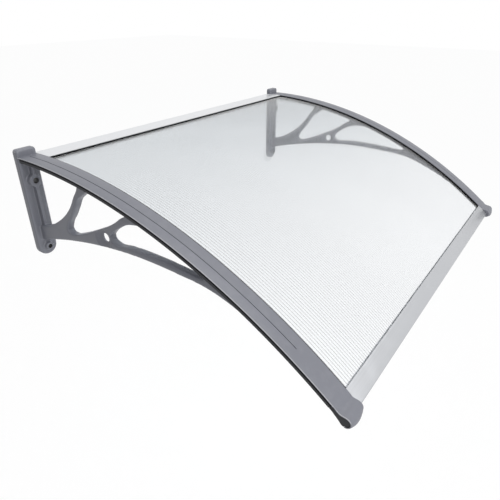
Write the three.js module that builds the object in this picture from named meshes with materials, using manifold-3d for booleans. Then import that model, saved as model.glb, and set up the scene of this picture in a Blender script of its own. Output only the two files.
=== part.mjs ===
// Door canopy: a clear twin-wall sheet bent over a shallow arc between two moulded brackets.
// Aluminium bars close its wall edge and its front edge, and soft seals line all four edges.
// Millimetres, +Z up, +X across the door, +Y into the wall. The origin is on the wall, in the
// middle of the rear bar's back face. Outlines of the brackets are drawn as [out, up] pairs:
// out is the distance from the wall, which is -Y, and up is the height.
import * as THREE from 'three';
import * as BufferGeometryUtils from 'three/addons/utils/BufferGeometryUtils.js';
import Module from 'manifold-3d';

const wasm = await Module();
wasm.setup();

// Overall sizes
const bracketSpacing = 955;
const reach = 807.5;
const roofRadius = 1222;
const crownOut = 34;
const crownHeight = 14.5;
const clearance = 0.25;
const roofSteps = 16;
const noseSteps = 8;

// Roof sheet and its edge seals
const sheetThickness = 4;
const sheetSkin = 0.6;
const cellPitch = 19.5;
const cellRib = 0.6;
const sealWall = 0.8;

// Rail along the top of each bracket
const railWidth = 45;
const railTopFlange = 1.6;
const railLowerFlange = 2.5;
const railWeb = 12;
const spineDepth = 8.8;
const spineWidth = 18;
const grooveWidth = 1.4;
const grooveDepth = 0.5;
const noseRadius = 10.6;
const noseSink = 3.2;
const noseSwell = 24;
const noseBulge = 5.5;
const noseTopWrap = 0.5;
const noseFootWrap = 0.4;

// Wall plate of each bracket
const plateThickness = 14.5;
const plateFillet = 4.5;
const plateCorner = 6;
const plateRise = 29.5;
const upperHoleHeight = -39;
const screwSpacing = 162;
const upperBossRadius = 14;
const upperBossOut = 26.8;
const upperHoleRadius = 6.35;
const lowerBossRadius = 9.8;
const lowerBossOut = 22.4;
const lowerHoleRadius = 5;
const plateRibWidth = 7;
const plateRibOut = 26.5;

// Strut frame of each bracket
const strutThickness = 18;
const strutEdge = 3;
const strutEdgeDepth = 5;
const strutHoleRadius = 10.8;
const strutHoleFlare = 3.6;
const strutHoleOut = 247;
const strutHoleUp = -111.8;
const strutFrontOut = 667;
const spineRunOut = 42;
const chordRootUp = -183;
const ledgeUp = -149;

// Rear bar, held against the wall
const rearBarDepth = 57;
const rearChannelDepth = 27;
const rearLegHeight = 27;
const rearSealShow = 2.5;
const barWall = 1.6;
const barEdge = 3;

// Front bar
const frontBarSetback = 10;
const frontBarWidth = 35;
const frontChannelDepth = 19;
const frontSealShow = 0.8;

// Depths below the roof's top surface
const slotHeight = sheetThickness + 2 * (sealWall + 2 * clearance);
const slotFloor = railTopFlange + slotHeight;
const railDepth = slotFloor + railLowerFlange;
const spineBottom = railDepth + spineDepth;
const sealTop = railTopFlange + clearance;
const sealBottom = slotFloor - clearance;
const sheetTop = sealTop + sealWall + clearance;

// Distances along the roof, from its crown towards the front
const rearBarLip = alongRoof(rearBarDepth);
const rearChannelFloor = rearBarLip - rearChannelDepth;
const frontBarEdge = alongRoof(reach - frontBarSetback);
const frontBarLip = frontBarEdge - frontBarWidth;
const frontChannelFloor = frontBarLip + frontChannelDepth;
const sheetInset = sealWall + 2 * clearance;
const sheetRear = rearChannelFloor + sheetInset;
const sheetFront = frontChannelFloor - sheetInset;
const roofStep = (sheetFront - sheetRear) / roofSteps;
const sheetStations = Array.from({ length: roofSteps + 1 }, (_, i) => sheetRear + i * roofStep);

// Distances across the roof, from the middle of the canopy
const slotWebFace = bracketSpacing / 2 - railWeb / 2;
const railInnerEdge = bracketSpacing / 2 - railWidth / 2;
const sheetHalfWidth = slotWebFace - sheetInset;
const barHalfLength = railInnerEdge - clearance;

const lowerHoleHeight = upperHoleHeight - screwSpacing;

const bracketPlastic = new THREE.MeshStandardMaterial({ color: 0x7c7d85, roughness: 0.5, metalness: 0 });
const clearSheet = new THREE.MeshStandardMaterial({ color: 0xe6eaee, roughness: 0.1, metalness: 0 });
const aluminium = new THREE.MeshStandardMaterial({ color: 0xd3d6d8, roughness: 0.35, metalness: 0.8 });
const sealRubber = new THREE.MeshStandardMaterial({ color: 0x1c1d20, roughness: 0.7, metalness: 0 });

// Length of the roof's top surface between its crown and a point that far out from the wall
function alongRoof(out) {
  return roofRadius * Math.asin((out - crownOut) / roofRadius);
}

// Point on the true arc, a given depth below the top surface
function arcPoint(along, depth) {
  const angle = along / roofRadius;
  const radius = roofRadius - depth;
  return new THREE.Vector2(
    crownOut + radius * Math.sin(angle),
    crownHeight - roofRadius + radius * Math.cos(angle),
  );
}

// The same point on the run of short flats that the roof is drawn with
function roofPoint(along, depth) {
  const station = (along - sheetRear) / roofStep;
  const before = Math.floor(station);
  const start = arcPoint(sheetRear + before * roofStep, depth);
  const end = arcPoint(sheetRear + (before + 1) * roofStep, depth);
  return start.lerp(end, station - before);
}

// Depth below the roof's top at a given distance out from the wall
function underRoof(out, depth) {
  const top = roofPoint(alongRoof(out), 0);
  return [out, top.y - depth];
}

function toSolid(geometry) {
  geometry.deleteAttribute('normal');
  geometry.deleteAttribute('uv');
  const merged = BufferGeometryUtils.mergeVertices(geometry, 1e-4);
  return new wasm.Manifold(new wasm.Mesh({
    numProp: 3,
    vertProperties: new Float32Array(merged.attributes.position.array),
    triVerts: new Uint32Array(merged.index.array),
  }));
}

function toGeometry(solid) {
  const mesh = solid.getMesh();
  const geometry = new THREE.BufferGeometry();
  geometry.setAttribute('position', new THREE.BufferAttribute(new Float32Array(mesh.vertProperties), 3));
  geometry.setIndex(new THREE.BufferAttribute(new Uint32Array(mesh.triVerts), 1));
  geometry.computeVertexNormals();
  return geometry;
}

function rectangle(left, bottom, right, top) {
  const corners = [[left, bottom], [right, bottom], [right, top], [left, top]];
  return new THREE.Shape(corners.map(([x, y]) => new THREE.Vector2(x, y)));
}

// An [out, up] outline extruded across the canopy, about the middle plane
function extrudeAcross(outline, width, options = {}) {
  const geometry = new THREE.ExtrudeGeometry(outline, { depth: width, bevelEnabled: false, ...options });
  geometry.translate(0, 0, -width / 2);
  const outward = new THREE.Vector3(0, -1, 0);
  const upward = new THREE.Vector3(0, 0, 1);
  const across = new THREE.Vector3(-1, 0, 0);
  return geometry.applyMatrix4(new THREE.Matrix4().makeBasis(outward, upward, across));
}

// A section drawn with its depth below the roof as -Y, swept along the roof's curve
function sweepAlongRoof(section, stations) {
  const last = stations.length - 1;
  const options = { depth: last, steps: last, bevelEnabled: false, curveSegments: 4 };
  const geometry = new THREE.ExtrudeGeometry(section, options);
  const position = geometry.attributes.position;
  for (let i = 0; i < position.count; i += 1) {
    const along = stations[Math.round(position.getZ(i))];
    const point = roofPoint(along, -position.getY(i));
    position.setXYZ(i, position.getX(i), -point.x, point.y);
  }
  return geometry;
}

// Stations for a sweep that starts behind the sheet and ends in front of it
function railStations(start, end) {
  return [start, ...sheetStations.filter((along) => along > start && along < end), end];
}

// A bar's profile, drawn as [along, depth] points, laid on the roof's curve
function laidOnRoof(points) {
  return points.map(([along, depth]) => roofPoint(along, depth));
}

function roundedTurn(path, centre, radius, from, to) {
  path.absarc(centre.x, centre.y, radius, from, to, true);
}

// Clear sheet with open cells that run from the wall to the front
function roofSheet() {
  const block = rectangle(-sheetHalfWidth, -sheetTop - sheetThickness, sheetHalfWidth, -sheetTop);
  const cells = Math.round((2 * sheetHalfWidth - cellRib) / cellPitch);
  const pitch = (2 * sheetHalfWidth - cellRib) / cells;
  const cellTop = -sheetTop - sheetSkin;
  const cellBottom = -sheetTop - sheetThickness + sheetSkin;
  const cellStations = railStations(sheetRear - 1, sheetFront + 1);
  let solid = toSolid(sweepAlongRoof(block, sheetStations));
  for (let i = 0; i < cells; i += 1) {
    const left = -sheetHalfWidth + cellRib + i * pitch;
    const cell = rectangle(left, cellBottom, left + pitch - cellRib, cellTop);
    solid = solid.subtract(toSolid(sweepAlongRoof(cell, cellStations)));
  }
  return toGeometry(solid);
}

// U-shaped seal over one side edge of the sheet, in the slot of a rail
function sideSeal(side) {
  const outer = slotWebFace - clearance;
  const inner = outer - sealWall;
  const section = new THREE.Shape([
    [railInnerEdge, sealTop],
    [railInnerEdge, sealTop + sealWall],
    [inner, sealTop + sealWall],
    [inner, sealBottom - sealWall],
    [railInnerEdge, sealBottom - sealWall],
    [railInnerEdge, sealBottom],
    [outer, sealBottom],
    [outer, sealTop],
  ].map(([across, depth]) => new THREE.Vector2(side * across, -depth)));
  return sweepAlongRoof(section, sheetStations);
}

// U-shaped seal over the wall edge or the front edge of the sheet, in the channel of a bar
function crossSeal(base, lip) {
  const inner = base + Math.sign(lip - base) * sealWall;
  const outline = new THREE.Shape(laidOnRoof([
    [lip, sealTop],
    [lip, sealTop + sealWall],
    [inner, sealTop + sealWall],
    [inner, sealBottom - sealWall],
    [lip, sealBottom - sealWall],
    [lip, sealBottom],
    [base, sealBottom],
    [base, sealTop],
  ]));
  return extrudeAcross(outline, 2 * barHalfLength);
}

// Aluminium bar on the wall: a leg, a hollow chamber and a channel that opens to the front
function rearBar() {
  const skinBottom = slotFloor + barWall;
  const topBack = underRoof(0, barEdge)[1];
  const topFront = underRoof(barEdge, 0)[1];
  const legFoot = topBack - rearLegHeight;
  const outline = new THREE.Shape();
  outline.moveTo(0, legFoot);
  outline.lineTo(0, topBack);
  outline.quadraticCurveTo(0, topFront, barEdge, topFront);
  const front = [
    [0, 0],
    [rearBarLip, 0],
    [rearBarLip, railTopFlange],
    [rearChannelFloor, railTopFlange],
    [rearChannelFloor, slotFloor],
    [rearBarLip, slotFloor],
    [rearBarLip, skinBottom],
    [0, skinBottom],
  ];
  laidOnRoof(front).forEach((point) => outline.lineTo(point.x, point.y));
  const shelf = roofPoint(0, skinBottom).y;
  outline.lineTo(barWall, shelf);
  outline.lineTo(barWall, legFoot);
  const chamberFront = rearChannelFloor - barWall;
  const chamber = [
    [chamberFront, railTopFlange],
    [chamberFront, slotFloor],
  ];
  const wallFace = [
    new THREE.Vector2(barWall, shelf + barWall),
    new THREE.Vector2(barWall, topFront - barEdge),
    new THREE.Vector2(barEdge + barWall, topFront - railTopFlange),
  ];
  outline.holes.push(new THREE.Path([...laidOnRoof(chamber), ...wallFace].reverse()));
  return extrudeAcross(outline, 2 * barHalfLength, { curveSegments: 4 });
}

// Aluminium bar along the front: a channel that opens to the rear and a round hollow nose
function frontBar() {
  const skinBottom = slotFloor + barWall;
  const round = skinBottom / 2;
  const tip = frontBarEdge - round;
  const outline = new THREE.Shape();
  const rear = [
    [tip, skinBottom],
    [frontBarLip, skinBottom],
    [frontBarLip, slotFloor],
    [frontChannelFloor, slotFloor],
    [frontChannelFloor, railTopFlange],
    [frontBarLip, railTopFlange],
    [frontBarLip, 0],
    [tip, 0],
  ];
  outline.setFromPoints(laidOnRoof(rear));
  const slope = tip / roofRadius;
  const centre = roofPoint(tip, round);
  roundedTurn(outline, centre, round, Math.PI / 2 - slope, -Math.PI / 2 - slope);
  const chamber = [
    [frontChannelFloor + barWall, railTopFlange],
    [tip, railTopFlange],
    [tip, slotFloor],
    [frontChannelFloor + barWall, slotFloor],
  ];
  outline.holes.push(new THREE.Path(laidOnRoof(chamber).reverse()));
  return extrudeAcross(outline, 2 * barHalfLength, { curveSegments: 8 });
}

// Rounded end of a rail, which swells out of the rail's top and closes it at the front
function noseOutline(noseAlong) {
  const slope = noseAlong / roofRadius;
  const centre = arcPoint(noseAlong, noseSink);
  const topTurn = Math.PI / 2 - slope + noseTopWrap;
  const bottomTurn = -Math.PI / 2 - slope - noseFootWrap;
  const start = roofPoint(noseAlong - noseSwell, 0);
  const bend = roofPoint(noseAlong - noseSwell / 2, -1);
  const outline = new THREE.Shape();
  outline.moveTo(start.x, start.y);
  outline.quadraticCurveTo(
    bend.x,
    bend.y,
    centre.x + noseRadius * Math.cos(topTurn),
    centre.y + noseRadius * Math.sin(topTurn),
  );
  roundedTurn(outline, centre, noseRadius, topTurn, bottomTurn);
  const under = roofPoint(noseAlong - noseSwell, railDepth);
  outline.lineTo(under.x, under.y);
  return outline;
}

// The nose, which also bulges forwards in the middle of the rail's width
function nose(noseAlong) {
  const options = { curveSegments: 12, steps: noseSteps };
  const geometry = extrudeAcross(noseOutline(noseAlong), railWidth, options);
  const centre = arcPoint(noseAlong, noseSink);
  const slope = noseAlong / roofRadius;
  const forward = new THREE.Vector3(0, -Math.cos(slope), -Math.sin(slope));
  const middle = new THREE.Vector3(0, -centre.x, centre.y);
  const position = geometry.attributes.position;
  const point = new THREE.Vector3();
  for (let i = 0; i < position.count; i += 1) {
    point.fromBufferAttribute(position, i);
    const ahead = Math.max(0, point.clone().sub(middle).dot(forward)) / noseRadius;
    const bulge = noseBulge * (1 - (2 * point.x / railWidth) ** 2);
    point.addScaledVector(forward, ahead * bulge);
    position.setXYZ(i, point.x, point.y, point.z);
  }
  return geometry;
}

// Rail: a flanged strip with an open slot down each side and a fine groove along its top
function rail() {
  const noseOut = reach - noseBulge - noseRadius;
  const noseAlong = roofRadius * Math.asin((noseOut - crownOut) / (roofRadius - noseSink));
  const start = alongRoof(plateThickness / 2);
  const stations = railStations(start, noseAlong);
  const block = rectangle(-railWidth / 2, -railDepth, railWidth / 2, 0);
  const groove = rectangle(-grooveWidth / 2, -grooveDepth, grooveWidth / 2, 1);
  let solid = toSolid(sweepAlongRoof(block, stations)).add(toSolid(nose(noseAlong)));
  solid = solid.subtract(toSolid(sweepAlongRoof(groove, railStations(start - 1, sheetFront - noseSwell))));
  for (const side of [-1, 1]) {
    const web = (side * railWeb) / 2;
    const mouth = side * railWidth;
    const slot = rectangle(Math.min(web, mouth), -slotFloor, Math.max(web, mouth), -railTopFlange);
    const cut = sweepAlongRoof(slot, railStations(start - 1, frontChannelFloor));
    solid = solid.subtract(toSolid(cut));
  }
  return solid.add(toSolid(spine(start)));
}

// Spine under the rail, where the struts meet it; it runs out towards the front
function spine(start) {
  const front = alongRoof(strutFrontOut);
  const stations = railStations(start, front);
  const above = stations.map((along) => [along, railDepth - 1]);
  const below = stations.map((along) => [along, spineBottom]);
  const outline = new THREE.Shape(laidOnRoof([...above, [front + spineRunOut, railDepth - 1]]));
  const end = roofPoint(front + spineRunOut, railDepth);
  outline.lineTo(end.x, end.y);
  const bend = roofPoint(front + spineRunOut / 3, spineBottom - 1);
  const turn = roofPoint(front, spineBottom);
  outline.quadraticCurveTo(bend.x, bend.y, turn.x, turn.y);
  laidOnRoof(below.reverse().slice(1)).forEach((point) => outline.lineTo(point.x, point.y));
  return extrudeAcross(outline, spineWidth, { curveSegments: 4 });
}

// Smooth line through [out, up] pairs, drawn with a number of short steps
function through(pairs, steps) {
  return new THREE.SplineCurve(toPoints(pairs)).getPoints(steps);
}

// Rounded corner between two [out, up] pairs, pulled towards the point between them
function corner(from, pull, to) {
  const steps = 4;
  return new THREE.QuadraticBezierCurve(...toPoints([from, pull, to])).getPoints(steps);
}

function toPoints(pairs) {
  return pairs.map(([out, up]) => new THREE.Vector2(out, up));
}

// Outline or opening from runs of points, without the points that two runs share
function joinRuns(Kind, ...runs) {
  const points = runs.flat();
  return new Kind(points.filter((point, i) => i === 0 || point.distanceTo(points[i - 1]) > clearance));
}

// Struts between the plate and the rail: one flat frame with three openings and a round hole
function strutFrame() {
  const rootOut = plateThickness / 2;
  const chord = [
    underRoof(strutFrontOut, spineBottom),
    underRoof(642, 23.5),
    underRoof(608, 27.8),
    underRoof(528, 40.2),
    underRoof(448, 65.6),
    [353, -122.5],
    [252, -131],
    [150, -148],
    [70, -167],
    [plateThickness, chordRootUp],
  ];
  const rearEdge = [
    [plateThickness, ledgeUp],
    [58, -135],
    [88, -119],
    [121, -96],
    [148, -70],
    [168, -42],
    underRoof(183, 28),
    underRoof(190, railDepth),
  ];
  const buried = railStations(alongRoof(200), alongRoof(strutFrontOut));
  const hidden = buried.map((along) => [along, railDepth - 2]);
  const outline = joinRuns(
    THREE.Shape,
    through(chord, 20),
    toPoints([[rootOut, chordRootUp], [rootOut, ledgeUp]]),
    through(rearEdge, 14),
    laidOnRoof(hidden),
  );
  outline.holes.push(middleOpening(), frontOpening());
  return outline;
}

// Three-cornered opening between the two spokes
function middleOpening() {
  const foot = [129, -118];
  const heel = [141, -134];
  const toe = [308, -52];
  const tip = underRoof(316, spineBottom - 2);
  return joinRuns(
    THREE.Path,
    through([underRoof(222, spineBottom - 2), [194, -36], [180, -47], [168, -65], [152, -87.5], foot], 10),
    corner(foot, [119, -134], heel),
    through([heel, [162, -128], [192, -116], [225, -100.6], [257, -85], [287, -67.4], toe], 9),
    corner(toe, underRoof(329, 25), tip),
    toPoints([underRoof(290, spineBottom - 3), underRoof(250, spineBottom - 3)]),
  );
}

// Long opening between the front spoke and the lower chord
function frontOpening() {
  const foot = [278, -91];
  const heel = [280, -114];
  const toe = [505, -112.5];
  const tip = underRoof(500, spineBottom - 2);
  const top = underRoof(388, spineBottom - 2);
  return joinRuns(
    THREE.Path,
    through([top, [366, -55], [345, -56.6], [320, -63.6], [297.6, -76.5], foot], 9),
    corner(foot, [259, -109], heel),
    through([heel, [320, -111.5], [365, -109.2], [408, -109.4], [448, -111.3], [487, -112.8], toe], 8),
    corner(toe, [524, -112], tip),
    toPoints([underRoof(470, spineBottom - 3), underRoof(430, spineBottom - 3)]),
  );
}

// Round hole through the struts, flared towards both faces
function strutHole() {
  const half = strutThickness / 2;
  const rim = strutHoleRadius + strutHoleFlare;
  const profile = [
    [0, -half - 1],
    [rim, -half - 1],
    [rim, -half],
    [strutHoleRadius, 0],
    [rim, half],
    [rim, half + 1],
    [0, half + 1],
  ];
  const cutter = new THREE.LatheGeometry(toPoints(profile), 24);
  cutter.rotateZ(Math.PI / 2);
  cutter.translate(0, -strutHoleOut, strutHoleUp);
  return toSolid(cutter);
}

// Wall plate: square shoulders at the top, a half round at the foot, rounded front edges
function wallPlate() {
  const half = railWidth / 2;
  const shoulder = plateRise - plateCorner;
  const outline = new THREE.Shape();
  outline.absarc(0, lowerHoleHeight, half, Math.PI, 2 * Math.PI, false);
  outline.absarc(half - plateCorner, shoulder, plateCorner, 0, Math.PI / 2, false);
  outline.absarc(plateCorner - half, shoulder, plateCorner, Math.PI / 2, Math.PI, false);
  const plate = new THREE.ExtrudeGeometry(outline, {
    depth: plateThickness,
    bevelThickness: plateFillet,
    bevelSize: plateFillet,
    bevelOffset: -plateFillet,
    bevelSegments: 3,
    curveSegments: 8,
  });
  plate.translate(0, 0, -plateFillet);
  plate.rotateX(Math.PI / 2);
  const height = plateRise + screwSpacing;
  const behindWall = new THREE.BoxGeometry(2 * railWidth, 4 * plateFillet, 4 * height);
  behindWall.translate(0, 2 * plateFillet, 0);
  return toSolid(plate).subtract(toSolid(behindWall));
}

function boss(height, radius, out) {
  const cylinder = new THREE.CylinderGeometry(radius, radius - 1, out, 24);
  cylinder.translate(0, -out / 2, height);
  return toSolid(cylinder);
}

function screwHole(height, radius) {
  const cylinder = new THREE.CylinderGeometry(radius, radius, 4 * upperBossOut, 20);
  cylinder.translate(0, 0, height);
  return toSolid(cylinder);
}

function plateRib() {
  const top = underRoof(plateRibOut, slotFloor)[1];
  const outline = rectangle(plateThickness / 2, ledgeUp - 2, plateRibOut, top);
  return toSolid(extrudeAcross(outline, plateRibWidth));
}

// Bracket, moulded in one piece
function bracket() {
  const struts = extrudeAcross(strutFrame(), strutThickness - 2 * strutEdgeDepth, {
    bevelEnabled: true,
    bevelThickness: strutEdgeDepth,
    bevelSize: strutEdge,
    bevelOffset: -strutEdge,
    bevelSegments: 2,
  });
  const solid = rail()
    .add(wallPlate())
    .add(toSolid(struts))
    .add(plateRib())
    .add(boss(upperHoleHeight, upperBossRadius, upperBossOut))
    .add(boss(lowerHoleHeight, lowerBossRadius, lowerBossOut))
    .subtract(strutHole())
    .subtract(screwHole(upperHoleHeight, upperHoleRadius))
    .subtract(screwHole(lowerHoleHeight, lowerHoleRadius));
  return toGeometry(solid);
}

function piece(name, geometry, material) {
  const mesh = new THREE.Mesh(geometry, material);
  mesh.name = name;
  return mesh;
}

const canopy = new THREE.Group();
const bracketGeometry = bracket();
for (const [side, sign] of [['left', -1], ['right', 1]]) {
  const mesh = piece(`${side}_bracket`, bracketGeometry, bracketPlastic);
  mesh.position.x = (sign * bracketSpacing) / 2;
  canopy.add(mesh);
  canopy.add(piece(`${side}_seal`, sideSeal(sign), sealRubber));
}
canopy.add(piece('roof_sheet', roofSheet(), clearSheet));
canopy.add(piece('rear_bar', rearBar(), aluminium));
canopy.add(piece('front_bar', frontBar(), aluminium));
const rearSeal = crossSeal(rearChannelFloor + clearance, rearBarLip + rearSealShow);
const frontSeal = crossSeal(frontChannelFloor - clearance, frontBarLip - frontSealShow);
canopy.add(piece('rear_seal', rearSeal, sealRubber));
canopy.add(piece('front_seal', frontSeal, sealRubber));

export default canopy;
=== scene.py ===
"""Door canopy: a clear twin-wall sheet bent over a shallow arc between two moulded brackets.

Sizes in the classes are millimetres, as in the part's source. The scene is in metres, in the
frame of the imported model: X runs across the door, +Y into the wall and Z up, and the origin is
on the wall behind the rear bar. Outlines are pairs of out, the distance from the wall, and up.
"""
import logging
import math
from dataclasses import dataclass
from enum import Enum
from typing import Callable, Sequence

import bmesh
import bpy
from mathutils import Matrix, Vector


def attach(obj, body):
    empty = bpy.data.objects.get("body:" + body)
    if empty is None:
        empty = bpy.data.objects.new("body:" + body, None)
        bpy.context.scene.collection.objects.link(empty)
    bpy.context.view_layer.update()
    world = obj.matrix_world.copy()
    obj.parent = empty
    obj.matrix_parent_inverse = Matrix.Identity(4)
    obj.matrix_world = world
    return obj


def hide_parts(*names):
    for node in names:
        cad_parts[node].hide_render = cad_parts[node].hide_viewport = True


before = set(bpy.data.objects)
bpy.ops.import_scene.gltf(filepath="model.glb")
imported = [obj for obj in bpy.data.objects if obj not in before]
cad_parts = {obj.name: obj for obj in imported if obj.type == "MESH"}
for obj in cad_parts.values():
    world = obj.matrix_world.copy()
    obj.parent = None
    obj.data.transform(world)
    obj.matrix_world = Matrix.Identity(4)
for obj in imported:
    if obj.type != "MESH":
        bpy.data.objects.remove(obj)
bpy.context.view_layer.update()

MM = 0.001
MERGE_DISTANCE = 0.01 * MM
LOG = logging.getLogger("door_canopy")

Pair = tuple[float, float]
Triple = tuple[float, float, float]
Colour = tuple[float, float, float]
Rgba = tuple[float, float, float, float]


class Side(Enum):
    """Side of the canopy, as its sign along X."""

    LEFT = -1
    RIGHT = 1


class Merge(Enum):
    """Ways in which one solid changes another."""

    JOIN = "UNION"
    CUT = "DIFFERENCE"


class Turn(Enum):
    """How an outline passes through one of its points."""

    SMOOTH = "AUTO"
    SHARP = "VECTOR"


Corner = tuple[float, float, Turn]


def smooth(points: Sequence[Pair]) -> list[Corner]:
    """Marks points that an outline passes through smoothly."""
    return [(out, up, Turn.SMOOTH) for out, up in points]


def sharp(points: Sequence[Pair]) -> list[Corner]:
    """Marks points that an outline turns at."""
    return [(out, up, Turn.SHARP) for out, up in points]


def rounded(start: Pair, pull: Pair, end: Pair) -> list[Corner]:
    """Gives the middle point of a corner that is rounded towards a point outside it."""
    return smooth([((start[0] + 2 * pull[0] + end[0]) / 4, (start[1] + 2 * pull[1] + end[1]) / 4)])


# Working with objects by hand


def clear_selection() -> None:
    """Leaves edit mode and deselects every object."""
    active = bpy.context.view_layer.objects.active
    if active is not None and active.mode != "OBJECT":
        bpy.ops.object.mode_set(mode="OBJECT")
    bpy.ops.object.select_all(action="DESELECT")


def pick(piece: bpy.types.Object) -> None:
    """Makes one object the only selected one, and the active one.

    Args:
        piece: the object.
    """
    clear_selection()
    piece.select_set(True)
    bpy.context.view_layer.objects.active = piece


def settle(piece: bpy.types.Object) -> None:
    """Puts an object's place, turn and scale into its mesh."""
    pick(piece)
    bpy.ops.object.transform_apply(location=True, rotation=True, scale=True)


def tidy_shell(piece: bpy.types.Object) -> None:
    """Merges doubled vertices and turns every face outwards.

    Args:
        piece: closed mesh to put in order.
    """
    pick(piece)
    bpy.ops.object.mode_set(mode="EDIT")
    bpy.ops.mesh.select_all(action="SELECT")
    bpy.ops.mesh.remove_doubles(threshold=MERGE_DISTANCE)
    bpy.ops.mesh.normals_make_consistent(inside=False)
    bpy.ops.object.mode_set(mode="OBJECT")


def select_edges(piece: bpy.types.Object, wanted: Callable[[Vector, Vector], bool]) -> None:
    """Selects the edges of the mesh being edited that pass a test.

    Args:
        piece: object in edit mode, in edge select mode.
        wanted: test of an edge's two ends, in metres.
    """
    mesh = bmesh.from_edit_mesh(piece.data)
    for edge in mesh.edges:
        edge.select_set(wanted(edge.verts[0].co, edge.verts[1].co))
    bmesh.update_edit_mesh(piece.data)


def draw_face(name: str, corners: Sequence[Vector]) -> bpy.types.Object:
    """Draws a flat face by pulling one vertex round its outline.

    Args:
        name: name of the new object.
        corners: corners of the face in order, in metres.

    Returns:
        The object, in edit mode, with all of it selected.
    """
    clear_selection()
    bpy.ops.mesh.primitive_plane_add(size=MM, location=corners[0])
    piece = bpy.context.object
    piece.name = name
    settle(piece)
    bpy.ops.object.mode_set(mode="EDIT")
    bpy.ops.mesh.select_mode(type="VERT")
    bpy.ops.mesh.select_all(action="SELECT")
    bpy.ops.mesh.merge(type="CENTER")
    for start, end in zip(corners, [*corners[1:], corners[0]]):
        bpy.ops.mesh.extrude_vertices_move(TRANSFORM_OT_translate={"value": end - start})
    bpy.ops.mesh.select_all(action="SELECT")
    bpy.ops.mesh.remove_doubles(threshold=MERGE_DISTANCE)
    bpy.ops.mesh.edge_face_add()
    return piece


def soften_corners(radius: float, steps: int = 3) -> None:
    """Rounds the corners of the face being drawn, in millimetres."""
    bpy.ops.mesh.bevel(offset=radius * MM, segments=steps, affect="VERTICES", clamp_overlap=True)
    bpy.ops.mesh.select_all(action="SELECT")


def pull_across(piece: bpy.types.Object, width: float) -> None:
    """Extrudes the face being drawn across the canopy, and closes the piece.

    Args:
        piece: object in edit mode, with its face selected.
        width: distance along X, in millimetres.
    """
    bpy.ops.mesh.extrude_region_move(TRANSFORM_OT_translate={"value": (width * MM, 0.0, 0.0)})
    tidy_shell(piece)


def apply_modifier(piece: bpy.types.Object, kind: str, **settings: object) -> None:
    """Adds a modifier with its settings to a piece, and applies it.

    Args:
        piece: piece that is changed.
        kind: Blender's name of the modifier.
        settings: the modifier's settings by name, in the order in which they are set.
    """
    pick(piece)
    bpy.ops.object.modifier_add(type=kind)
    modifier = piece.modifiers[-1]
    for name, value in settings.items():
        setattr(modifier, name, value)
    bpy.ops.object.modifier_apply(modifier=modifier.name)


def merge_solids(body: bpy.types.Object, tool: bpy.types.Object, how: Merge) -> None:
    """Joins a second solid to a first one, or cuts it out, and deletes it.

    Args:
        body: solid that is changed.
        tool: solid that is used up.
        how: whether to join or to cut.
    """
    apply_modifier(body, "BOOLEAN", operation=how.value, solver="MANIFOLD", object=tool)
    bpy.data.objects.remove(tool, do_unlink=True)


def outline_solid(name: str, loops: Sequence[Sequence[Corner]], width: float,
                  edge: float = 0.0) -> bpy.types.Object:
    """Makes a flat plate from an outline and its openings, about the plane X = 0.

    Args:
        name: name of the new object.
        loops: the outline, then each opening, as out, up and turn of every point.
        width: thickness of the plate, in millimetres.
        edge: radius of the plate's rounded edges, in millimetres.

    Returns:
        The plate as a mesh object.
    """
    clear_selection()
    curve = bpy.data.curves.new(name, "CURVE")
    curve.dimensions = "2D"
    curve.fill_mode = "BOTH"
    curve.resolution_u = 6
    curve.extrude = (width / 2 - edge) * MM
    curve.bevel_depth = edge * MM
    curve.bevel_resolution = 3
    curve.offset = -edge * MM
    for loop in loops:
        spline = curve.splines.new("BEZIER")
        spline.bezier_points.add(len(loop) - 1)
        spline.use_cyclic_u = True
        for point, (out, up, turn) in zip(spline.bezier_points, loop):
            point.co = (out * MM, up * MM, 0.0)
            point.handle_left_type = turn.value
            point.handle_right_type = turn.value
    plate = bpy.data.objects.new(name, curve)
    bpy.context.collection.objects.link(plate)
    plate.matrix_world = Matrix(((0, 0, -1, 0), (-1, 0, 0, 0), (0, 1, 0, 0), (0, 0, 0, 1)))
    pick(plate)
    bpy.ops.object.convert(target="MESH")
    plate = bpy.context.object
    settle(plate)
    tidy_shell(plate)
    return plate


def add_block(name: str, low: Vector, high: Vector) -> bpy.types.Object:
    """Adds a block between two corners in millimetres, with its place in its mesh.

    Args:
        name: name of the new object.
        low: its low corner.
        high: its high corner.

    Returns:
        The block.
    """
    clear_selection()
    bpy.ops.mesh.primitive_cube_add(size=1.0, location=(low + high) / 2 * MM, scale=(high - low) * MM)
    block = bpy.context.object
    block.name = name
    settle(block)
    return block


def add_rod(name: str, radius: float, start: Vector, end: Vector, sides: int = 48) -> bpy.types.Object:
    """Adds a round rod between two points in millimetres, with its place in its mesh.

    Args:
        name: name of the new object.
        radius: radius of the rod, in millimetres.
        start: middle of one end.
        end: middle of the other end.
        sides: number of flats round the rod.

    Returns:
        The rod.
    """
    clear_selection()
    span = end - start
    bpy.ops.mesh.primitive_cylinder_add(
        vertices=sides,
        radius=radius * MM,
        depth=span.length * MM,
        location=(start + end) / 2 * MM,
        rotation=span.to_track_quat("Z", "Y").to_euler(),
    )
    rod = bpy.context.object
    rod.name = name
    settle(rod)
    return rod


def join_pieces(pieces: Sequence[bpy.types.Object], name: str) -> bpy.types.Object:
    """Joins several meshes into one object.

    Args:
        pieces: the meshes; the first one takes in the others.
        name: name of the joined object.

    Returns:
        The joined object.
    """
    pick(pieces[0])
    for piece in pieces[1:]:
        piece.select_set(True)
    bpy.ops.object.join()
    pieces[0].name = name
    return pieces[0]


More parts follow.
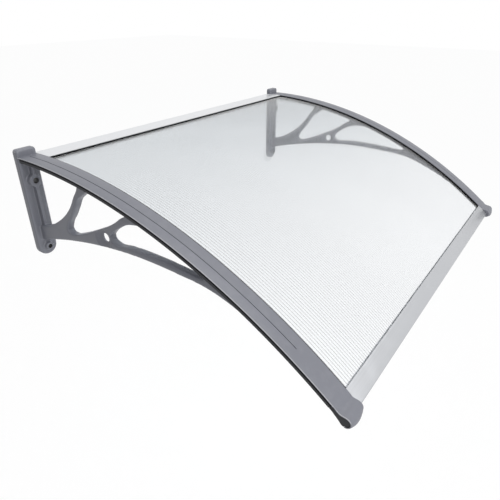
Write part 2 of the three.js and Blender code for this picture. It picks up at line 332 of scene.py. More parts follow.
def present(piece: bpy.types.Object, slot: str, angle: float = 35.0) -> None:
    """Shades a finished piece, puts it on the canopy's body and reports it.

    Args:
        piece: finished object at the origin.
        slot: the record's material slot.
        angle: edges sharper than this stay crisp, in degrees.
    """
    pick(piece)
    bpy.ops.object.shade_smooth_by_angle(angle=math.radians(angle))
    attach(piece, "root")
    LOG.info("%s: %d faces, %s", piece.name, len(piece.data.polygons), slot)


def hand_over(piece: bpy.types.Object, node: str, slot: str, angle: float = 35.0) -> None:
    """Presents a finished piece that stands for a node of the frame.

    Args:
        piece: finished object at the origin.
        node: node that it replaces.
        slot: the record's material slot.
        angle: edges sharper than this stay crisp, in degrees.
    """
    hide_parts(node)
    present(piece, slot, angle)


# The roof's curve and its layers


@dataclass(frozen=True)
class RoofArc:
    """Arc of the roof's top surface; along is the length of arc from its crown to the front."""

    radius: float = 1222.0
    crown_out: float = 34.0
    crown_height: float = 14.5

    def along(self, out: float) -> float:
        """Gives the length of arc at a distance out from the wall."""
        return self.radius * math.asin((out - self.crown_out) / self.radius)

    def pair(self, along: float, depth: float) -> Pair:
        """Gives out and up of a point a depth below the roof's top.

        Args:
            along: length of arc from the crown.
            depth: depth below the roof's top.

        Returns:
            The point, as out and up.
        """
        angle = along / self.radius
        reach = self.radius - depth
        return (
            self.crown_out + reach * math.sin(angle),
            self.crown_height - self.radius + reach * math.cos(angle),
        )

    def point(self, along: float, depth: float, across: float = 0.0) -> Vector:
        """Gives the same point as a place in the scene, in metres."""
        out, up = self.pair(along, depth)
        return Vector((across, -out, up)) * MM

    def under(self, out: float, depth: float) -> Pair:
        """Gives the point straight below the roof's top at a distance out from the wall."""
        return out, self.pair(self.along(out), 0.0)[1] - depth

    @property
    def centre(self) -> Vector:
        """Centre of the arc, in metres."""
        return Vector((0.0, -self.crown_out, self.crown_height - self.radius)) * MM

    def sweep(self, piece: bpy.types.Object, length: float, steps: int) -> None:
        """Spins the face being drawn along the roof, and closes the piece.

        Args:
            piece: object in edit mode, with its face selected.
            length: length of arc towards the front, in millimetres.
            steps: number of steps along it.
        """
        bpy.ops.mesh.spin(
            steps=steps,
            angle=-length / self.radius,
            center=self.centre,
            axis=(1.0, 0.0, 0.0),
        )
        tidy_shell(piece)

    def strip(self, name: str, section: Sequence[Pair], start: float, end: float, steps: int,
              corner: float = 0.0) -> bpy.types.Object:
        """Makes a piece of one section that follows the roof.

        Args:
            name: name of the new object.
            section: corners as across and depth pairs.
            start: where it starts along the roof.
            end: where it ends along the roof.
            steps: number of steps along the roof.
            corner: radius of the section's corners.

        Returns:
            The finished strip.
        """
        piece = draw_face(name, [self.point(start, depth, across) for across, depth in section])
        if corner:
            soften_corners(corner)
        self.sweep(piece, end - start, steps)
        return piece


@dataclass(frozen=True)
class Layers:
    """Depths below the roof's top, and lengths along it, that several pieces share."""

    arc: RoofArc = RoofArc()
    clearance: float = 0.25
    top_flange: float = 1.6
    sheet: float = 4.0
    seal: float = 0.8
    rail_floor: float = 2.5
    bar_wall: float = 1.6
    spacing: float = 955.0
    rail_width: float = 45.0
    rail_web: float = 12.0
    rail_start: float = 7.0
    reach: float = 807.5
    rear_bar: float = 57.0
    rear_channel: float = 27.0
    front_setback: float = 10.0
    front_bar: float = 35.0
    front_channel: float = 19.0

    @property
    def slot_floor(self) -> float:
        """Depth of the floor of the slots that hold the sheet."""
        return self.top_flange + self.sheet + 2 * (self.seal + 2 * self.clearance)

    @property
    def rail_depth(self) -> float:
        """Depth of the rails' underside."""
        return self.slot_floor + self.rail_floor

    @property
    def seal_top(self) -> float:
        """Depth of the seals' upper face."""
        return self.top_flange + self.clearance

    @property
    def seal_bottom(self) -> float:
        """Depth of the seals' lower face."""
        return self.slot_floor - self.clearance

    @property
    def sheet_top(self) -> float:
        """Depth of the sheet's upper face."""
        return self.seal_top + self.seal + self.clearance

    @property
    def inset(self) -> float:
        """Distance from the foot of a slot to the sheet's edge."""
        return self.seal + 2 * self.clearance

    @property
    def slot_foot(self) -> float:
        """Distance from the middle of the canopy to the foot of a rail's slot."""
        return (self.spacing - self.rail_web) / 2

    @property
    def rail_edge(self) -> float:
        """Distance from the middle of the canopy to a rail's inner edge."""
        return (self.spacing - self.rail_width) / 2

    @property
    def bar_half(self) -> float:
        """Half the length of the two bars."""
        return self.rail_edge - self.clearance

    @property
    def rear_lip(self) -> float:
        """Front edge of the rear bar, along the roof."""
        return self.arc.along(self.rear_bar)

    @property
    def rear_foot(self) -> float:
        """Foot of the rear bar's channel, along the roof."""
        return self.rear_lip - self.rear_channel

    @property
    def front_edge(self) -> float:
        """Front edge of the front bar, along the roof."""
        return self.arc.along(self.reach - self.front_setback)

    @property
    def front_lip(self) -> float:
        """Rear edge of the front bar, along the roof."""
        return self.front_edge - self.front_bar

    @property
    def front_foot(self) -> float:
        """Foot of the front bar's channel, along the roof."""
        return self.front_lip + self.front_channel

    @property
    def sheet_span(self) -> Pair:
        """Rear and front edges of the sheet, along the roof."""
        return self.rear_foot + self.inset, self.front_foot - self.inset


LAYERS = Layers()
ARC = LAYERS.arc


# Shader groups that the finishes share


class Wiring:
    """Adds and links the nodes of one material or group."""

    def __init__(self, tree: bpy.types.NodeTree) -> None:
        """Keeps the tree that is being wired."""
        self.tree = tree

    def add(self, kind: str, **values: object) -> bpy.types.Node:
        """Adds a node and sets its values.

        Args:
            kind: node type without the ShaderNode prefix.
            values: inputs by name, with underscores for spaces, or the node's own settings.

        Returns:
            The new node.
        """
        node = self.tree.nodes.new(f"ShaderNode{kind}")
        for key, value in values.items():
            title = key.replace("_", " ")
            if title in node.inputs:
                self.put(node.inputs[title], value)
            else:
                setattr(node, key, value)
        return node

    def put(self, socket: bpy.types.NodeSocket, value: object) -> None:
        """Links a socket to another one, or sets it to a value.

        Args:
            socket: input that is set.
            value: an output to link it to, or its new value.
        """
        if isinstance(value, bpy.types.NodeSocket):
            self.tree.links.new(value, socket)
        else:
            socket.default_value = value

    def place(self, group: bpy.types.NodeTree, **values: object) -> bpy.types.Node:
        """Places a shader group and sets its inputs.

        Args:
            group: the shader group.
            values: inputs by name, with underscores for spaces.

        Returns:
            The node that stands for the group.
        """
        node = self.tree.nodes.new("ShaderNodeGroup")
        node.node_tree = group
        for key, value in values.items():
            self.put(node.inputs[key.replace("_", " ")], value)
        return node

    def blend(self, amount: object, first: object, second: object) -> bpy.types.NodeSocket:
        """Mixes two colours and gives the result.

        Args:
            amount: share of the second colour.
            first: first colour.
            second: second colour.

        Returns:
            The mixed colour.
        """
        # Inputs 6 and 7 and output 2 of a Mix node are its colours.
        node = self.tree.nodes.new("ShaderNodeMix")
        node.data_type = "RGBA"
        self.put(node.inputs[0], amount)
        self.put(node.inputs[6], first)
        self.put(node.inputs[7], second)
        return node.outputs[2]

    def product(self, first: object, second: object) -> bpy.types.NodeSocket:
        """Multiplies two colours and gives the result.

        Args:
            first: first colour.
            second: second colour.

        Returns:
            Their product.
        """
        result = self.blend(1.0, first, second)
        result.node.blend_type = "MULTIPLY"
        return result

    def place_along(self, axis: str) -> bpy.types.NodeSocket:
        """Gives the place on the object along one axis, in metres."""
        return self.add("SeparateXYZ", Vector=self.add("TexCoord").outputs["Object"]).outputs[axis]

    def facing(self, axis: str) -> bpy.types.NodeSocket:
        """Gives how far the surface faces along one axis, from -1 to 1."""
        return self.add("SeparateXYZ", Vector=self.add("NewGeometry").outputs["Normal"]).outputs[axis]

    def raise_by(self, shader: bpy.types.Node, height: object, strength: float, distance: float) -> None:
        """Makes a shader's surface rise and fall with a height."""
        bump = self.add("Bump", Strength=strength, Distance=distance, Height=height)
        self.put(shader.inputs["Normal"], bump.outputs["Normal"])

    def work_out(self, kind: str, first: object, second: object = 0.0,
                 clamp: bool = False) -> bpy.types.NodeSocket:
        """Does one step of arithmetic and gives the result.

        Args:
            kind: Blender's name of the step.
            first: first number.
            second: second number.
            clamp: whether the result stays between 0 and 1.

        Returns:
            The result.
        """
        node = self.tree.nodes.new("ShaderNodeMath")
        node.operation = kind
        node.use_clamp = clamp
        self.put(node.inputs[0], first)
        self.put(node.inputs[1], second)
        return node.outputs[0]

    def spread(self, value: object, low: float, high: float, to_low: float = 0.0,
               to_high: float = 1.0) -> bpy.types.NodeSocket:
        """Maps a value smoothly from one range to another.

        Args:
            value: value to map.
            low: start of its range.
            high: end of its range.
            to_low: result at the start.
            to_high: result at the end.

        Returns:
            The mapped value.
        """
        node = self.tree.nodes.new("ShaderNodeMapRange")
        node.interpolation_type = "SMOOTHSTEP"
        for index, setting in enumerate((value, low, high, to_low, to_high)):
            self.put(node.inputs[index], setting)
        return node.outputs[0]


def open_group(name: str, inputs: dict[str, float],
               outputs: Sequence[str]) -> tuple[bpy.types.NodeTree, Wiring]:
    """Starts a shader group with number inputs and outputs.

    Args:
        name: name of the group.
        inputs: names of the inputs and their usual values.
        outputs: names of the outputs.

    Returns:
        The group and its wiring.
    """
    group = bpy.data.node_groups.new(name, "ShaderNodeTree")
    for title, value in inputs.items():
        socket = group.interface.new_socket(name=title, in_out="INPUT", socket_type="NodeSocketFloat")
        socket.default_value = value
    for title in outputs:
        group.interface.new_socket(name=title, in_out="OUTPUT", socket_type="NodeSocketFloat")
    return group, Wiring(group)


def grain_group() -> bpy.types.NodeTree:
    """Makes the fine grain of a moulded or blasted surface.

    Returns:
        A group that gives a height and a slow drift of tone.
    """
    group, wiring = open_group("surface_grain", {"Scale": 900.0, "Drift Scale": 9.0}, ["Height", "Drift"])
    given = group.nodes.new("NodeGroupInput")
    result = group.nodes.new("NodeGroupOutput")
    place = wiring.add("TexCoord").outputs["Object"]
    fine = wiring.add("TexNoise", Vector=place, Scale=given.outputs["Scale"], Detail=3.0, Roughness=0.55)
    slow = wiring.add("TexNoise", Vector=place, Scale=given.outputs["Drift Scale"], Detail=2.0)
    wiring.put(result.inputs["Height"], fine.outputs["Fac"])
    wiring.put(result.inputs["Drift"], slow.outputs["Fac"])
    return group


def dust_group() -> bpy.types.NodeTree:
    """Makes a thin dust that settles on what faces up.

    Returns:
        A group that gives the dust's mask.
    """
    group, wiring = open_group("settled_dust", {"Amount": 0.2, "Scale": 40.0}, ["Mask"])
    given = group.nodes.new("NodeGroupInput")
    result = group.nodes.new("NodeGroupOutput")
    place = wiring.add("TexCoord").outputs["Object"]
    facing = wiring.spread(wiring.facing("Z"), 0.35, 0.95)
    cloud = wiring.add("TexNoise", Vector=place, Scale=given.outputs["Scale"], Detail=4.0, Roughness=0.6)
    patches = wiring.spread(cloud.outputs["Fac"], 0.42, 0.7)
    settled = wiring.work_out("MULTIPLY", facing, patches)
    wiring.put(result.inputs["Mask"], wiring.work_out("MULTIPLY", settled, given.outputs["Amount"]))
    return group


def drawn_lines_group() -> bpy.types.NodeTree:
    """Makes the faint lines that a die leaves along an extruded piece.

    Returns:
        A group that gives their height and a mask.
    """
    group, wiring = open_group("drawn_lines", {"Scale": 1.0}, ["Height", "Mask"])
    given = group.nodes.new("NodeGroupInput")
    result = group.nodes.new("NodeGroupOutput")
    place = wiring.add("TexCoord").outputs["Object"]
    drawn = wiring.add("Mapping", Vector=place, Scale=(1.5, 900.0, 900.0)).outputs["Vector"]
    lines = wiring.add("TexNoise", Vector=drawn, Scale=given.outputs["Scale"], Detail=2.0)
    wiring.put(result.inputs["Height"], lines.outputs["Fac"])
    wiring.put(result.inputs["Mask"], wiring.spread(lines.outputs["Fac"], 0.35, 0.7))
    return group


@dataclass(frozen=True)
class Groups:
    """The shader groups, built once."""

    grain: bpy.types.NodeTree
    dust: bpy.types.NodeTree
    lines: bpy.types.NodeTree


# The sheet's thin ribs and skins hardly bend what is seen through them.
CLEAR_IOR = 1.01


def opaque(colour: Colour, factor: float = 1.0) -> Rgba:
    """Gives a colour, scaled, with full alpha."""
    return (colour[0] * factor, colour[1] * factor, colour[2] * factor, 1.0)


def grey(level: float) -> Rgba:
    """Gives a plain grey with full alpha."""
    return (level, level, level, 1.0)


WHITE = grey(1.0)


def open_material(name: str) -> tuple[bpy.types.Material, Wiring, bpy.types.Node, bpy.types.Node]:
    """Starts a material.

    Args:
        name: name of the material.

    Returns:
        The material, its wiring, its Principled shader and its output.
    """
    material = bpy.data.materials.new(name)
    material.use_nodes = True
    nodes = material.node_tree.nodes
    return material, Wiring(material.node_tree), nodes["Principled BSDF"], nodes["Material Output"]


# Finishes


@dataclass(frozen=True)
class MouldedPlastic:
    """Satin grey engineering plastic with a fine mould grain.

    The bores are height and radius pairs in millimetres.
    """

    bores: Sequence[Pair]
    colour: Colour = (0.178, 0.182, 0.208)
    dust_colour: Colour = (0.42, 0.42, 0.43)
    # Painted highlight along the rails' outer top edges: its colour, and its width in millimetres.
    edge_highlight_colour: Colour = (0.46, 0.46, 0.48)
    highlight_width: float = 1.2
    # Painted shade on faces that look sideways, as a factor on the colour.
    side_shade: Colour = (0.72, 0.72, 0.73)
    # Painted shade in the screw bores: how far from the wall it reaches, and the factor on the colour.
    bore_length: float = 30.0
    bore_shade: float = 0.04
    roughness: float = 0.42
    grain_height: float = 0.00006

    def from_middle(self, wiring: Wiring) -> bpy.types.NodeSocket:
        """Gives the distance from the middle of the canopy's width, in metres."""
        return wiring.work_out("ABSOLUTE", wiring.place_along("X"))

    def edge_highlight_mask(self, wiring: Wiring) -> bpy.types.NodeSocket:
        """Gives 1 on the outermost edge of the rails, where it faces up and a highlight is painted.

        Args:
            wiring: wiring of the material.

        Returns:
            The mask.
        """
        start = ((LAYERS.spacing + LAYERS.rail_width) / 2 - self.highlight_width) * MM
        edge = wiring.spread(self.from_middle(wiring), start, start + 0.5 * MM)
        return wiring.work_out("MULTIPLY", edge, wiring.spread(wiring.facing("Z"), 0.1, 0.5))

    def bore_shade_mask(self, wiring: Wiring) -> bpy.types.NodeSocket:
        """Gives 1 on the walls of the screw bores, where shade is painted.

        Args:
            wiring: wiring of the material.

        Returns:
            The mask.
        """
        across = wiring.work_out("SUBTRACT", self.from_middle(wiring), LAYERS.spacing / 2 * MM)
        marks = []
        for height, radius in self.bores:
            along = wiring.work_out("SUBTRACT", wiring.place_along("Z"), height * MM)
            squares = [wiring.work_out("POWER", distance, 2.0) for distance in (across, along)]
            distance = wiring.work_out("SQRT", wiring.work_out("ADD", *squares))
            marks.append(wiring.work_out("LESS_THAN", distance, (radius + 0.1) * MM))
        near_wall = wiring.work_out("GREATER_THAN", wiring.place_along("Y"), -self.bore_length * MM)
        return wiring.work_out("MULTIPLY", wiring.work_out("ADD", *marks, True), near_wall)

    def base_colour(self, wiring: Wiring, drift: bpy.types.NodeSocket,
                    dust: bpy.types.NodeSocket) -> bpy.types.NodeSocket:
        """Mixes the plastic's colour.

        Args:
            wiring: wiring of the material.
            drift: slow drift of tone.
            dust: mask of the dust.

        Returns:
            The colour, with its dust, a painted highlight on the rails' outer edges, painted shade on faces
            that look sideways and painted shade in the bores.
        """
        tone = wiring.blend(drift, opaque(self.colour, 0.96), opaque(self.colour, 1.04))
        dusty = wiring.blend(dust, tone, opaque(self.dust_colour))
        # Painted highlight along the rails' outer top edges.
        highlighted = wiring.blend(self.edge_highlight_mask(wiring), dusty, opaque(self.edge_highlight_colour))
        # Painted shade: faces that look along X are darkened.
        side_shade_mask = wiring.spread(wiring.work_out("ABSOLUTE", wiring.facing("X")), 0.6, 0.95)
        lit = wiring.product(highlighted, wiring.blend(side_shade_mask, WHITE, opaque(self.side_shade)))
        # Painted shade inside the screw bores.
        return wiring.blend(self.bore_shade_mask(wiring), lit, opaque(self.colour, self.bore_shade))

    def material(self, groups: Groups) -> bpy.types.Material:
        """Builds the material from the shared groups.

        Args:
            groups: the shared shader groups.

        Returns:
            The material.
        """
        material, wiring, shader, _ = open_material("bracket_plastic_grey")
        grain = wiring.place(groups.grain, Scale=1400.0, Drift_Scale=14.0)
        drift = grain.outputs["Drift"]
        dust = wiring.place(groups.dust, Amount=0.08, Scale=55.0).outputs["Mask"]
        wiring.put(shader.inputs["Base Color"], self.base_colour(wiring, drift, dust))
        rough = wiring.spread(drift, 0.3, 0.7, self.roughness - 0.04, self.roughness + 0.05)
        wiring.put(shader.inputs["Roughness"], wiring.work_out("ADD", rough, dust, True))
        wiring.raise_by(shader, grain.outputs["Height"], 0.35, self.grain_height)
        shader.inputs["IOR"].default_value = 1.5
        shader.inputs["Specular IOR Level"].default_value = 0.55
        return material


# Places along Y, in metres, between which the pieces that follow the roof change their tone; the change is
# painted shade.
FADE_START = -0.06
FADE_END = -0.78


def towards_front(wiring: Wiring) -> bpy.types.NodeSocket:
    """Gives 0 at the wall and 1 at the front bar, for pieces that follow the roof."""
    return wiring.spread(wiring.place_along("Y"), FADE_START, FADE_END)


def pass_light(wiring: Wiring, shader: bpy.types.Node, output: bpy.types.Node, colour: Colour) -> None:
    """Makes a clear piece cast a pale shadow.

    Args:
        wiring: wiring of the material.
        shader: the material's own shader.
        output: the material's output.
        colour: share of the light that passes.
    """
    path = wiring.add("LightPath")
    clear = wiring.add("BsdfTransparent", Color=opaque(colour))
    mix = wiring.add("MixShader", Fac=path.outputs["Is Shadow Ray"])
    wiring.put(mix.inputs[1], shader.outputs[0])
    wiring.put(mix.inputs[2], clear.outputs[0])
    wiring.put(output.inputs["Surface"], mix.outputs[0])


@dataclass(frozen=True)
class ClearSheet:
    """Clear twin-wall polycarbonate, with a painted shade that makes it a little greyer towards the wall."""

    name: str = "clear_polycarbonate"
    rear_colour: Colour = (0.865, 0.88, 0.892)
    front_colour: Colour = (0.978, 0.983, 0.988)
    shadow: Colour = (0.86, 0.88, 0.9)
    roughness: float = 0.012
    gloss: float = 1.0

    def material(self, groups: Groups) -> bpy.types.Material:
        """Builds the material from the shared groups.

        Args:
            groups: the shared shader groups.

        Returns:
            The material.
        """
        material, wiring, shader, output = open_material(self.name)
        lines = wiring.place(groups.grain, Scale=260.0, Drift_Scale=6.0)
        # Painted shade: the tint greys from the front towards the wall.
        tint = wiring.blend(towards_front(wiring), opaque(self.rear_colour), opaque(self.front_colour))
        cloud = wiring.blend(lines.outputs["Drift"], WHITE, grey(0.985))
        wiring.put(shader.inputs["Base Color"], wiring.product(tint, cloud))
        shader.inputs["Roughness"].default_value = self.roughness
        wiring.raise_by(shader, lines.outputs["Height"], 0.06, 0.00002)
        shader.inputs["Transmission Weight"].default_value = 1.0
        shader.inputs["IOR"].default_value = CLEAR_IOR
        shader.inputs["Coat Weight"].default_value = self.gloss
        shader.inputs["Coat IOR"].default_value = 1.22
        shader.inputs["Coat Roughness"].default_value = 0.04
        pass_light(wiring, shader, output, self.shadow)
        return material


@dataclass(frozen=True)
class FluteLine:
    """Outer skin of the sheet over its ribs, painted grey as fine lines of shade."""

    faint_shade: Colour = (0.93, 0.94, 0.95)
    strong_shade: Colour = (0.4, 0.405, 0.42)
    shadow: Colour = (0.8, 0.82, 0.84)
    roughness: float = 0.25
    lean: float = -0.6
    near_from: float = 0.32
    near_to: float = 0.78

    def nearness(self, wiring: Wiring) -> bpy.types.NodeSocket:
        """Gives 1 by the left rail and at the front, where the painted shade of the lines is strongest.

        Args:
            wiring: wiring of the material.

        Returns:
            The mask.
        """
        ahead = wiring.work_out("MULTIPLY", wiring.place_along("Y"), self.lean)
        nearness = wiring.work_out("SUBTRACT", ahead, wiring.place_along("X"))
        return wiring.spread(nearness, self.near_from, self.near_to)

    def material(self, groups: Groups) -> bpy.types.Material:
        """Builds the material from the shared groups.

        Args:
            groups: the shared shader groups.

        Returns:
            The material.
        """
        material, wiring, shader, output = open_material("clear_polycarbonate_flute")
        grain = wiring.place(groups.grain, Scale=420.0, Drift_Scale=8.0)
        near = self.nearness(wiring)
        # Painted shade along the ribs, strongest by the left rail and at the front.
        tint = wiring.blend(near, opaque(self.faint_shade), opaque(self.strong_shade))
        drift = wiring.blend(grain.outputs["Drift"], grey(0.9), WHITE)
        wiring.put(shader.inputs["Base Color"], wiring.product(tint, drift))
        wiring.put(shader.inputs["Roughness"], wiring.spread(near, 0.0, 0.6, 0.012, self.roughness))
        shader.inputs["Transmission Weight"].default_value = 1.0
        shader.inputs["IOR"].default_value = CLEAR_IOR
        pass_light(wiring, shader, output, self.shadow)
        return material


@dataclass(frozen=True)
class PaleAluminium:
    """Extruded aluminium, silver anodised to a soft sheen, with a painted shade that makes the front bar
    darker than the rear one.
    """

    rear_colour: Colour = (0.76, 0.77, 0.785)
    front_colour: Colour = (0.54, 0.55, 0.57)
    roughness: float = 0.36

    def material(self, groups: Groups) -> bpy.types.Material:
        """Builds the material from the shared groups.

        Args:
            groups: the shared shader groups.

        Returns:
            The material.
        """
        material, wiring, shader, _ = open_material("bar_aluminium_silver")
        lines = wiring.place(groups.lines, Scale=1.0)
        dust = wiring.place(groups.dust, Amount=0.1, Scale=30.0)
        # Painted shade: darker on the front bar than at the wall.
        tone = wiring.blend(towards_front(wiring), opaque(self.rear_colour), opaque(self.front_colour))
        drawn = wiring.blend(lines.outputs["Mask"], grey(0.96), WHITE)
        wiring.put(shader.inputs["Base Color"], wiring.product(tone, drawn))
        rough = wiring.spread(lines.outputs["Mask"], 0.0, 1.0, self.roughness - 0.03, self.roughness + 0.05)
        wiring.put(shader.inputs["Roughness"], wiring.work_out("ADD", rough, dust.outputs["Mask"], True))
        wiring.raise_by(shader, lines.outputs["Height"], 0.2, 0.00003)
        shader.inputs["Metallic"].default_value = 0.85
        return material


@dataclass(frozen=True)
class BlackRubber:
    """Soft black seal; the same finish, black and dark grey, also paints the shade of the rails' outer slots
    and nose pockets.
    """

    name: str = "seal_rubber_black"
    colour: Colour = (0.0042, 0.0042, 0.0048)
    roughness: float = 0.78
    change: float = 0.06
    specular: float = 0.25

    def material(self, groups: Groups) -> bpy.types.Material:
        """Builds the material from the shared groups.

        Args:
            groups: the shared shader groups.

        Returns:
            The material.
        """
        material, wiring, shader, _ = open_material(self.name)
        grain = wiring.place(groups.grain, Scale=1100.0, Drift_Scale=20.0)
        tone = wiring.blend(grain.outputs["Drift"], opaque(self.colour, 0.8), opaque(self.colour, 1.3))
        wiring.put(shader.inputs["Base Color"], tone)
        low, high = self.roughness - self.change, self.roughness + self.change
        wiring.put(shader.inputs["Roughness"], wiring.spread(grain.outputs["Drift"], 0.3, 0.7, low, high))
        wiring.raise_by(shader, grain.outputs["Height"], 0.3, 0.00005)
        shader.inputs["Specular IOR Level"].default_value = self.specular
        return material


# Brackets


@dataclass(frozen=True)
class WallPlate:
    """Plate against the wall, with two bosses for the screws and a rib between them."""

    thickness: float = 14.5
    behind: float = 14.0
    rise: float = 29.5
    upper_hole: float = -39.0
    screw_spacing: float = 162.0
    shoulder: float = 6.0
    fillet: float = 4.5
    upper_boss: Pair = (14.0, 26.8)
    lower_boss: Pair = (9.8, 22.4)
    upper_bore: float = 6.35
    lower_bore: float = 5.0
    bore_past: float = 10.0
    rib_width: float = 7.0
    rib_out: float = 26.5
    ledge: float = -149.0

    @property
    def lower_hole(self) -> float:
        """Height of the lower screw."""
        return self.upper_hole - self.screw_spacing

    @property
    def screws(self) -> list[tuple[float, float, Pair]]:
        """Height, bore radius and boss of both screws; a boss is its radius and its reach."""
        return [(self.upper_hole, self.upper_bore, self.upper_boss),
                (self.lower_hole, self.lower_bore, self.lower_boss)]

    def slab(self) -> bpy.types.Object:
        """Makes the plate: square shoulders, a half round foot and rounded front edges.

        Returns:
            The slab, which reaches behind the wall until it is cut off there.
        """
        half = LAYERS.rail_width / 2
        foot = self.lower_hole - half
        low, high = (-half, -self.thickness, foot), (half, self.behind, self.rise)
        slab = add_block("plate_slab", Vector(low), Vector(high))
        bpy.ops.object.mode_set(mode="EDIT")
        bpy.ops.mesh.select_mode(type="EDGE")
        select_edges(slab, lambda a, b: max(a.z, b.z) < (foot + 1) * MM and abs(a.y - b.y) > MM)
        # A hair under half the width, so that the foot's two rounds don't meet.
        bpy.ops.mesh.bevel(offset=(half - 0.05) * MM, segments=14, affect="EDGES")
        select_edges(slab, lambda a, b: min(a.z, b.z) > (self.rise - 1) * MM and abs(a.y - b.y) > MM)
        bpy.ops.mesh.bevel(offset=self.shoulder * MM, segments=6, affect="EDGES")
        front = (1 - self.thickness) * MM
        select_edges(slab, lambda a, b: max(a.y, b.y) < front)
        bpy.ops.mesh.bevel(offset=self.fillet * MM, segments=4, affect="EDGES")
        tidy_shell(slab)
        return slab

    def bosses(self) -> list[bpy.types.Object]:
        """Makes the two bosses round the screws.

        Returns:
            The upper boss and the lower one.
        """
        made = []
        for height, _, (radius, out) in self.screws:
            start = Vector((0, self.behind - 4, height))
            made.append(add_rod("boss", radius, start, Vector((0, -out, height))))
        return made

    def rib(self) -> bpy.types.Object:
        """Makes the upright rib between the rail and the ledge.

        Returns:
            The rib.
        """
        half = self.rib_width / 2
        top = ARC.under(self.rib_out, LAYERS.slot_floor)[1]
        return add_block("plate_rib", Vector((-half, -self.rib_out, self.ledge - 2)),
                         Vector((half, -self.thickness / 2, top)))

    def bores(self) -> list[bpy.types.Object]:
        """Makes the cutters of the two screw bores.

        Returns:
            The upper cutter and the lower one.
        """
        made = []
        for height, radius, (_, out) in self.screws:
            start = Vector((0, self.behind + self.bore_past, height))
            made.append(add_rod("bore", radius, start, Vector((0, -out - self.bore_past, height)), 40))
        return made


